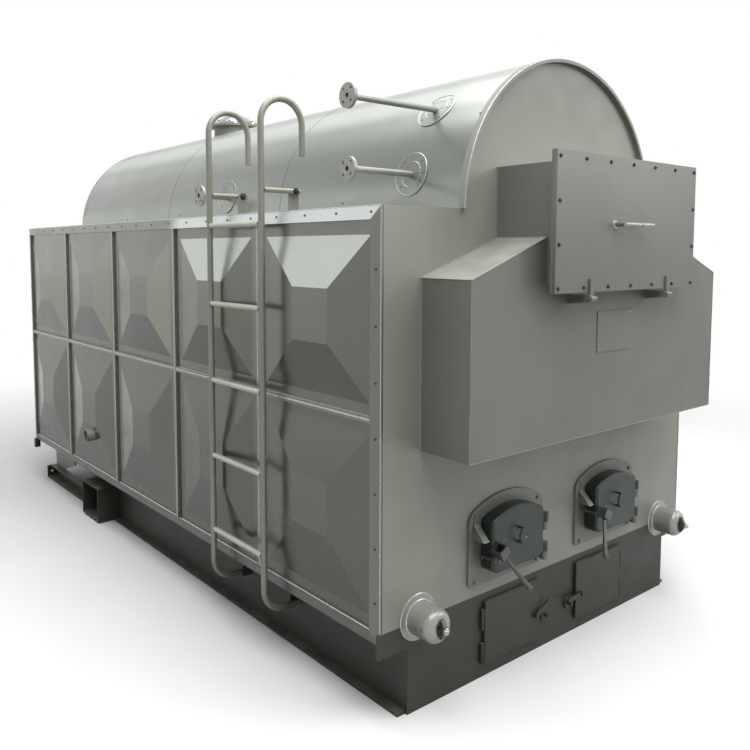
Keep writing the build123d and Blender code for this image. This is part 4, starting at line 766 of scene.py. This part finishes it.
class BOILER_OT_jacket_seams(BoilerStep):
    """Laps of the drum jacket, the bead at its front, and the rivets and foot screws"""
    bl_idname = "boiler.jacket_seams"
    bl_label = "Jacket seams"

    def execute(self, context):
        sizes = context.scene.boiler_sizes
        lap_lift, lap_thick = 0.0009, 0.0008
        line_ahead, line_behind = 0.0025, 0.0005
        line_lift, line_thick = 0.0005, 0.0004
        for name, y in (("front", SEAM_FRONT_Y), ("rear", SEAM_BACK_Y)):
            start, end = y - sizes.lap_width / 2, y + sizes.lap_width / 2
            mesh = bmesh.new()
            half_band(mesh, start, end, DRUM_RADIUS + lap_lift, lap_thick)
            piece("jacket_lap_" + name, mesh, "jacket")
            # Painted shade: a thin dark line along the front edge of the lap
            mesh = bmesh.new()
            line = (start - line_ahead, start + line_behind)
            half_band(mesh, *line, DRUM_RADIUS + line_lift, line_thick)
            piece("jacket_seam_" + name, mesh, "seam")
        self.head_bead()
        self.rivets(sizes.rivet_radius)
        return {"FINISHED"}

    def head_bead(self):
        """Rolled bead where the jacket meets the front plate."""
        ahead, sunk, radius, sides = 0.0185, 0.002, 0.0025, 10
        mesh = bmesh.new()
        start, _ = drum_point(0, FRONT_Y - ahead, DRUM_RADIUS - sunk)
        made = bmesh.ops.create_circle(
            mesh, segments=sides, radius=radius, matrix=Matrix.Translation(start))
        bmesh.ops.spin(mesh, geom=made["verts"] + edges_of(made["verts"]), **OVER_DRUM)
        # Painted highlight along the rolled bead
        piece("head_bead", mesh, "bright_edge")

    def rivets(self, radius):
        """Rivets at both ends of the drum, and a screw over each batten at the jacket's feet."""
        ends = (FRONT_Y + 0.014, BACK_Y - 0.03)
        feet = [FRONT_Y + 0.726 + 0.8 * step for step in range(4)]
        places = [(y, turn) for y in ends for turn in (35, 90, 145)]
        places += [(y, turn) for y in feet for turn in (4.7, 175.3)]
        mesh = bmesh.new()
        for y, turn in places:
            pan_screw(mesh, aim(*drum_point(math.radians(turn), y, DRUM_RADIUS)), radius)
        piece("jacket_rivets", mesh)


class BOILER_OT_pipe_rings(BoilerStep):
    """Rings and screws of the rosettes round the pipes, and the raised faces of their flanges"""
    bl_idname = "boiler.pipe_rings"
    bl_label = "Pipe rings"

    def execute(self, context):
        plate_top = 0.0033
        rim, rim_bead, rim_steps = 0.0885, 0.0022, 48
        inner, inner_bead = 0.052, 0.0014
        screws, screw_circle, screw_radius = 4, 0.072, 0.0032
        split_half, split_lift, split_start, split_bevel = 0.0012, 0.0004, 0.018, 0.0002
        face_ring, face_lift, face_bead, face_steps = 1.7, 0.0004, 0.0012, 32
        flange_thick, neck_gap, neck_bead = 0.014, 0.001, 0.0028
        for name, node, radius in PIPES:
            low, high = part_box(node)
            y = (low.y + high.y) / 2
            z = (low.z + high.z) / 2
            turn = math.asin((z - DRUM_Z) / DRUM_RADIUS)
            mesh = bmesh.new()
            flat = Matrix.Translation((0, 0, plate_top))
            bead_ring(mesh, flat, rim, rim_bead, rim_steps)
            bead_ring(mesh, flat, inner, inner_bead)
            wrap_on_drum(mesh.verts, turn, y)
            # Painted highlight on the rosette rims
            piece("rosette_rings_" + name, mesh, "bright_edge")
            mesh = bmesh.new()
            for index in range(screws):
                round_it = math.tau * (index + 0.5) / screws
                across, along = screw_circle * math.cos(round_it), screw_circle * math.sin(round_it)
                pan_screw(mesh, Matrix.Translation((across, along, plate_top)), screw_radius)
            plate(mesh, (-split_half, -rim, plate_top - split_lift),
                  (split_half, -radius - split_start, plate_top + split_lift), split_bevel)
            wrap_on_drum(mesh.verts, turn, y)
            piece("rosette_screws_" + name, mesh)
            mesh = bmesh.new()
            face = aim((low.x, y, z), (-1, 0, 0)) @ Matrix.Translation((0, 0, face_lift))
            bead_ring(mesh, face, radius * face_ring, face_bead, face_steps)
            neck = aim((low.x + flange_thick, y, z), (1, 0, 0))
            bead_ring(mesh, neck, radius + neck_gap, neck_bead, face_steps)
            # Painted highlight on the flange rims
            piece("flange_faces_" + name, mesh, "bright_edge")
        return {"FINISHED"}


class BOILER_OT_cover_bolts(BoilerStep):
    """Bolts round the smoke box cover and the fittings of its handle, which swing down with it"""
    bl_idname = "boiler.cover_bolts"
    bl_label = "Cover bolts"

    def execute(self, context):
        sizes = context.scene.boiler_sizes
        edge, head_edge, flange = 0.018, 0.023, 0.0123
        across, down = 6, 3
        turn = 0.7
        left = COVER_LOW.x + edge
        wide = COVER_HIGH.x - COVER_LOW.x - 2 * edge
        top = UPPER_HIGH.z - head_edge
        foot = UPPER_LOW.z + edge
        face = UPPER_LOW.y - flange
        row = [left + wide * index / across for index in range(across + 1)]
        places = [(x, z) for z in (top, foot) for x in row]
        for index in range(1, down):
            z = top + (foot - top) * index / down
            places += [(left, z), (left + wide, z)]
        mesh = bmesh.new()
        for index, (x, z) in enumerate(places):
            place = aim((x, face, z), AHEAD, turn * index)
            hex_bolt(mesh, place, sizes.bolt_across, sizes.bolt_height)
        piece("cover_bolts", mesh, body="smoke_box_cover")
        self.handle(face)
        return {"FINISHED"}

    def handle(self, face):
        """Painted sleeve of the handle with its collar, and the nut at the foot of its stud."""
        start, end, reach_out, z = -0.120, 0.095, 0.034, 1.832
        nut_across, nut_height = 0.02, 0.007
        reach = end - start
        collar = reach * 0.62
        stages = (
            (-0.006, 0.0, 0.0066, 0.0078), (0.0, reach, 0.0076, 0.0076),
            (reach, reach + 0.003, 0.0074, 0.0052), (collar, collar + 0.012, 0.0096, 0.0096),
        )
        mesh = bmesh.new()
        along = aim((start, face - reach_out, z), (1, 0, 0))
        for low, high, base, top in stages:
            drum(mesh, along, low, high, base, top, 20)
        piece("cover_handle_sleeve", mesh, "header_paint", "smoke_box_cover")
        mesh = bmesh.new()
        hex_bolt(mesh, aim((start, face, z)), nut_across, nut_height)
        piece("cover_handle_nut", mesh, "bright_edge", "smoke_box_cover")


class BOILER_OT_welds(BoilerStep):
    """Weld beads of the smoke box, header collars, ladder rungs and flue flange, with its bolts"""
    bl_idname = "boiler.welds"
    bl_label = "Weld beads"

    def execute(self, context):
        radius = context.scene.boiler_sizes.weld_radius
        thin, medium = radius * 0.5, radius * 0.8
        wide, low = LOWER_HIGH.x, LOWER_LOW.z
        shoulder, crest, narrow, roof = 1.63, 1.78, 0.435, 2.055
        face = SMOKE_FACE_Y
        mesh = bmesh.new()
        for side in SIDES.values():
            out, inner = side * wide, side * narrow
            for y, size in ((FRONT_Y, radius), (face, thin)):
                bead(mesh, (out, y, low), (out, y, shoulder), size)
                bead(mesh, (out, y, shoulder), (inner, y, crest), size)
            bead(mesh, (out, FRONT_Y, shoulder), (out, face, shoulder), thin)
            bead(mesh, (inner, FRONT_Y, crest), (inner, face, crest), medium)
            bead(mesh, (inner, FRONT_Y, crest), (inner, FRONT_Y, roof), radius)
        bead(mesh, (-wide, FRONT_Y, low), (wide, FRONT_Y, low), radius)
        bead(mesh, (-wide, face, low), (wide, face, low), thin)
        bead(mesh, (-narrow, FRONT_Y, roof), (narrow, FRONT_Y, roof), radius)
        piece("smoke_box_welds", mesh, "weld")
        self.header_welds(radius)
        self.rung_welds()
        self.flue_welds(radius)
        self.flue_bolts()
        return {"FINISHED"}

    def header_welds(self, radius):
        rings = ((0.001, 0.087, radius), (0.008, 0.066, radius * 1.2))
        mesh = bmesh.new()
        for side in SIDES.values():
            for ahead, ring, size in rings:
                place = (side * HEADER_X, FRONT_Y - ahead, HEADER_Z)
                bead_ring(mesh, aim(place), ring, size)
        # Painted highlight on the header weld rings
        piece("header_welds", mesh, "bright_edge")

    def rung_welds(self):
        rungs, pitch, half_rung, inset = 5, 0.349, 0.0125, 0.001
        ring, size, steps = 0.0112, 0.0022, 24
        x = (RUNGS_LOW.x + RUNGS_HIGH.x) / 2
        mesh = bmesh.new()
        for index in range(rungs):
            z = RUNGS_HIGH.z - half_rung - pitch * index
            for y in (RUNGS_LOW.y + inset, RUNGS_HIGH.y - inset):
                bead_ring(mesh, aim((x, y, z), (0, 1, 0)), ring, size, steps)
        piece("rung_welds", mesh, "ladder_paint")

    def flue_welds(self, radius):
        half, foot, head = 0.286, 1.244, 1.576
        corners = [(-half, foot), (half, foot), (half, head), (-half, head)]
        mesh = bmesh.new()
        for (x0, z0), (x1, z1) in zip(corners, corners[1:] + corners[:1]):
            bead(mesh, (x0, BACK_Y, z0), (x1, BACK_Y, z1), radius)
        piece("flue_welds", mesh, "weld")

    def flue_bolts(self):
        half_wide, half_high, middle = 0.305, 0.185, 1.41
        pitch_x, pitch_z, flange = 0.122, 0.0925, 0.0125
        across, head = 0.017, 0.009
        grid = [(step, side) for step in range(-2, 3) for side in SIDES.values()]
        places = [(side * half_wide, middle + step * pitch_z) for step, side in grid]
        places += [(step * pitch_x, middle + side * half_high) for step, side in grid]
        mesh = bmesh.new()
        for x, z in places:
            hex_bolt(mesh, aim((x, FLUE_FACE_Y - flange, z)), across, head)
        piece("flue_bolts", mesh)


class BOILER_OT_fire_frame_bolts(BoilerStep):
    """Flat bolts in each fire door frame, and the small screws and bright lip of its keeper"""
    bl_idname = "boiler.fire_frame_bolts"
    bl_label = "Fire frame bolts"

    def execute(self, context):
        across, head = context.scene.boiler_sizes.frame_bolt_across, 0.006
        spread, high, low = 0.195, 0.684, 0.415
        keeper, keeper_foot, keeper_head, keeper_deep = 0.190, 0.594, 0.655, 0.058
        screw_out, screw_lift, screw_radius = 0.005, 0.003, 0.0038
        lip_back, lip_up, lip_half, lip_radius = 0.0015, 0.0018, 0.0155, 0.0016
        for name, side in SIDES.items():
            mesh = bmesh.new()
            middle = side * FIRE_X
            for z in (high, low):
                for offset in (-spread, spread):
                    place = (middle + offset, FRAME_FACE_Y, z)
                    hex_bolt(mesh, aim(place, AHEAD, offset), across, head)
            for z in (keeper_foot - screw_out, keeper_head + screw_out):
                place = (middle - keeper, FRAME_FACE_Y - screw_lift, z)
                pan_screw(mesh, aim(place), screw_radius)
            piece("fire_frame_bolts_" + name, mesh, "frame_iron")
            mesh = bmesh.new()
            place = (middle - keeper, FRAME_FACE_Y - keeper_deep + lip_back, keeper_foot + lip_up)
            drum(mesh, aim(place, (1, 0, 0)), -lip_half, lip_half, lip_radius, lip_radius, 8)
            piece("keeper_lip_" + name, mesh, "steel")
        return {"FINISHED"}


class BOILER_OT_manhole_fittings(BoilerStep):
    """Bolts round the manhole cover and the ring at its side that lifts it"""
    bl_idname = "boiler.manhole_fittings"
    bl_label = "Manhole fittings"

    def execute(self, context):
        count = context.scene.boiler_sizes.manhole_bolts
        centre = (LID_LOW + LID_HIGH) / 2
        cover_thick, circle, across, head = 0.014, 0.1595, 0.013, 0.008
        seat = LID_LOW.z + cover_thick
        mesh = bmesh.new()
        for index in range(count):
            turn = math.tau * (index + 0.5) / count
            place = (centre.x + circle * math.cos(turn), centre.y + circle * math.sin(turn), seat)
            hex_bolt(mesh, aim(place, (0, 0, 1), turn), across, head)
        piece("manhole_bolts", mesh)
        left, behind, above = 0.115, 0.096, 0.021
        ring, bar, steps = 0.018, 0.0032, 28
        mesh = bmesh.new()
        place = Vector((centre.x - left, centre.y + behind, seat + above))
        bead_ring(mesh, aim(place, (0.64, 0.77, 0)), ring, bar, steps)
        piece("manhole_ring", mesh, "steel")
        return {"FINISHED"}


class BOILER_OT_tube_ends(BoilerStep):
    """Fire tube ends behind the smoke box cover, their bores closed by dark discs that stand for
    sooted walls and painted shade
    """
    bl_idname = "boiler.tube_ends"
    bl_label = "Fire tube ends"

    def execute(self, context):
        sizes = context.scene.boiler_sizes
        columns, rows, middle, row_pitch = 10, 5, 1.83, 0.92
        wall, lift, lip, steps, bore_thick = 0.002, 0.003, 0.0028, 24, 0.0012
        bore = sizes.tube_radius - wall
        raised = Matrix.Translation((0, 0, lift))
        rings = bmesh.new()
        bores = bmesh.new()
        for row in range(rows):
            count = columns - row % 2
            for column in range(count):
                x = (column - (count - 1) / 2) * sizes.tube_pitch
                z = middle + (row - (rows - 1) / 2) * sizes.tube_pitch * row_pitch
                place = aim((x, FRONT_Y, z))
                bead_ring(rings, place @ raised, bore, lip, steps)
                drum(bores, place, 0.0, bore_thick, bore, bore, steps)
        piece("tube_ends", rings, "boiler_plate")
        piece("tube_bores", bores, "soot")
        return {"FINISHED"}


class BOILER_OT_blank_plate(BoilerStep):
    """Blank plate with four rivets on the front of the smoke box"""
    bl_idname = "boiler.blank_plate"
    bl_label = "Blank plate"

    def execute(self, context):
        left, right, foot, head = -0.104, 0.14, 1.323, 1.49
        lift, sunk, edge, rivet = 0.0035, 0.0005, 0.012, 0.0035
        low = Vector((left, SMOKE_FACE_Y - lift, foot))
        high = Vector((right, SMOKE_FACE_Y - sunk, head))
        mesh = bmesh.new()
        plate(mesh, low, high)
        piece("blank_plate", mesh, "smoke_paint")
        mesh = bmesh.new()
        for x in (low.x + edge, high.x - edge):
            for z in (low.z + edge, high.z - edge):
                pan_screw(mesh, aim((x, low.y, z)), rivet)
        piece("blank_plate_rivets", mesh, "steel")
        return {"FINISHED"}


class BOILER_OT_ladder_bolts(BoilerStep):
    """Bolts through the tabs that hold the ladder's stays"""
    bl_idname = "boiler.ladder_bolts"
    bl_label = "Ladder bolts"

    def execute(self, context):
        x, z, inset = -0.92, 1.975, 0.011
        head_out, tail_out, across, head = 0.0145, 0.0105, 0.017, 0.008
        mesh = bmesh.new()
        for y, out in ((STAYS_LOW.y + inset, 1), (STAYS_HIGH.y - inset, -1)):
            hex_bolt(mesh, aim((x, y + out * head_out, z), (0, out, 0)), across, head)
            hex_bolt(mesh, aim((x, y - out * tail_out, z), (0, -out, 0)), across, head)
        piece("ladder_bolts", mesh)
        return {"FINISHED"}


class BOILER_OT_header_fittings(BoilerStep):
    """Hexagon nuts and threaded ends on the hand hole yokes"""
    bl_idname = "boiler.header_fittings"
    bl_label = "Header fittings"

    def execute(self, context):
        yoke, across, nut = 0.017, 0.0245, 0.0092
        turns, pitch, crest, base, top, sides = 4, 0.0019, 0.0014, 0.0068, 0.0062, 16
        mesh = bmesh.new()
        for side in SIDES.values():
            place = aim((side * HEADER_X, YOKES_FACE_Y + yoke, HEADER_Z))
            hex_bolt(mesh, place, across, nut, False)
            for turn in range(turns):
                start = nut + turn * pitch
                drum(mesh, place, start, start + crest, base, top, sides)
        piece("header_nuts", mesh, "steel")
        return {"FINISHED"}


class BOILER_OT_rear_lug(BoilerStep):
    """Small folded lug at the lower rear corners of the housing"""
    bl_idname = "boiler.rear_lug"
    bl_label = "Rear lug"

    def execute(self, context):
        out, half, start, end, foot, head = 1.025, 0.018, 0.03, 0.004, 0.245, 0.308
        mesh = bmesh.new()
        for side in SIDES.values():
            x = side * out
            plate(mesh, (x - half, BACK_Y - start, foot), (x + half, BACK_Y + end, head))
        piece("rear_lugs", mesh, "dark_steel")
        return {"FINISHED"}


class BOILER_OT_stage(BoilerStep):
    """Floor, backdrop, soft lights and camera"""
    bl_idname = "boiler.stage"
    bl_label = "Stage"

    def execute(self, context):
        scene = context.scene
        scene.view_settings.view_transform = "Standard"
        self.room(scene)
        self.floor(scene)
        for name, place, target, size in LAMPS:
            self.light(scene, name, place, target, size)
        self.camera(scene, scene.boiler_stage)
        return {"FINISHED"}

    def room(self, scene):
        """Even light from all round, and the plain backdrop."""
        world = bpy.data.worlds.new("room")
        scene.world = world
        world.use_nodes = True
        tree = world.node_tree
        even = tree.nodes["Background"]
        feed(tree, even, {"Color": ROOM_TINT, "Strength": scene.boiler_stage.room_light})
        backdrop = (*scene.boiler_colours.backdrop, 1.0)
        seen = node_of(tree, "Background", {"Color": backdrop}).outputs["Background"]
        chosen = self.choose(tree, self.seen_rays(tree), even.outputs["Background"], seen)
        feed(tree, tree.nodes["World Output"], {"Surface": chosen})

    def choose(self, tree, share, one, two):
        return node_of(tree, "MixShader", {0: share, 1: one, 2: two}).outputs["Shader"]

    def seen_rays(self, tree):
        """1 for what is seen straight, in gloss or through glass, 0 for light that only spreads."""
        rays = node_of(tree, "LightPath").outputs
        first = reckon(tree, "MAXIMUM", rays["Is Camera Ray"], rays["Is Glossy Ray"])
        return reckon(tree, "MAXIMUM", first, rays["Is Transmission Ray"])

    def floor(self, scene):
        """Round floor that takes the shadows and turns into the backdrop further out."""
        mesh = bmesh.new()
        bmesh.ops.create_circle(mesh, cap_ends=True, segments=96, radius=FLOOR_RADIUS)
        data = bpy.data.meshes.new("floor")
        mesh.to_mesh(data)
        mesh.free()
        new_object("floor", data)
        material, tree, shader = new_material("floor")
        where = node_of(tree, "TexCoord").outputs["Object"]
        tint = scene.boiler_colours.floor
        clouds = patches(tree, where, 0.0, 1.0, **FLOOR_CLOUDS)
        pale = mix(tree, clouds, shade(tint, 0.99), shade(tint, 1.01))
        seen = self.seen_rays(tree)
        paint = mix(tree, seen, tuple(scene.boiler_stage.bounce), pale)
        feed(tree, shader, {"Base Color": paint, "Roughness": 0.9, "Specular IOR Level": 0.1})
        away = node_of(tree, "VectorMath", {0: where}, operation="LENGTH")
        share = times(tree, span(tree, away.outputs["Value"], *FLOOR_FADE), seen)
        backdrop = (*scene.boiler_colours.backdrop, 1.0)
        far = node_of(tree, "Emission", {"Color": backdrop}).outputs["Emission"]
        chosen = self.choose(tree, share, shader.outputs["BSDF"], far)
        feed(tree, tree.nodes["Material Output"], {"Surface": chosen})
        data.materials.append(material)

    def light(self, scene, name, place, target, size):
        lamp = bpy.data.lights.new(name, "AREA")
        lamp.shape = "RECTANGLE"
        lamp.size, lamp.size_y = size
        lamp.energy = getattr(scene.boiler_stage, name)
        made = new_object(name, lamp)
        made.matrix_world = aim(place, Vector(place) - Vector(target))
        made.visible_camera = False

    def camera(self, scene, stage):
        lens = bpy.data.cameras.new("camera")
        lens.lens = stage.camera_lens
        lens.sensor_width = 36.0
        lens.shift_x = stage.shift_x
        lens.shift_y = stage.shift_y
        lens.clip_end = 200.0
        yaw, pitch, roll = stage.camera_yaw, stage.camera_pitch, stage.camera_roll
        level = math.cos(pitch)
        ahead = Vector((math.sin(yaw) * level, math.cos(yaw) * level, math.sin(pitch)))
        right = Vector((math.cos(yaw), -math.sin(yaw), 0))
        up = right.cross(ahead)
        turned_right = right * math.cos(roll) + up * math.sin(roll)
        turned_up = up * math.cos(roll) - right * math.sin(roll)
        made = new_object("camera", lens)
        turn = Matrix((turned_right, turned_up, -ahead)).transposed().to_4x4()
        made.matrix_world = Matrix.Translation(stage.camera_place) @ turn
        scene.camera = made


STEPS = (
    BOILER_OT_finishes, BOILER_OT_trim_screws, BOILER_OT_trim_edges, BOILER_OT_jacket_seams,
    BOILER_OT_pipe_rings, BOILER_OT_cover_bolts, BOILER_OT_welds, BOILER_OT_fire_frame_bolts,
    BOILER_OT_manhole_fittings, BOILER_OT_tube_ends, BOILER_OT_blank_plate,
    BOILER_OT_ladder_bolts, BOILER_OT_header_fittings, BOILER_OT_rear_lug, BOILER_OT_stage,
)


class BOILER_PT_panel(bpy.types.Panel):
    """Lists the steps that dress the boiler"""
    bl_idname = "BOILER_PT_panel"
    bl_label = "Boiler"
    bl_space_type = "VIEW_3D"
    bl_region_type = "UI"
    bl_category = "Boiler"

    def draw(self, context):
        for step in STEPS:
            self.layout.operator(step.bl_idname)


CLASSES = (BoilerSizes, BoilerColours, BoilerStage, *STEPS, BOILER_PT_panel)


def register():
    for item in CLASSES:
        bpy.utils.register_class(item)
    bpy.types.Scene.boiler_sizes = bpy.props.PointerProperty(type=BoilerSizes)
    bpy.types.Scene.boiler_colours = bpy.props.PointerProperty(type=BoilerColours)
    bpy.types.Scene.boiler_stage = bpy.props.PointerProperty(type=BoilerStage)


def unregister():
    del bpy.types.Scene.boiler_stage
    del bpy.types.Scene.boiler_colours
    del bpy.types.Scene.boiler_sizes
    for item in reversed(CLASSES):
        bpy.utils.unregister_class(item)


def main():
    register()
    for step in STEPS:
        family, action = step.bl_idname.split(".")
        getattr(getattr(bpy.ops, family), action)()


if __name__ == "__main__":
    main()
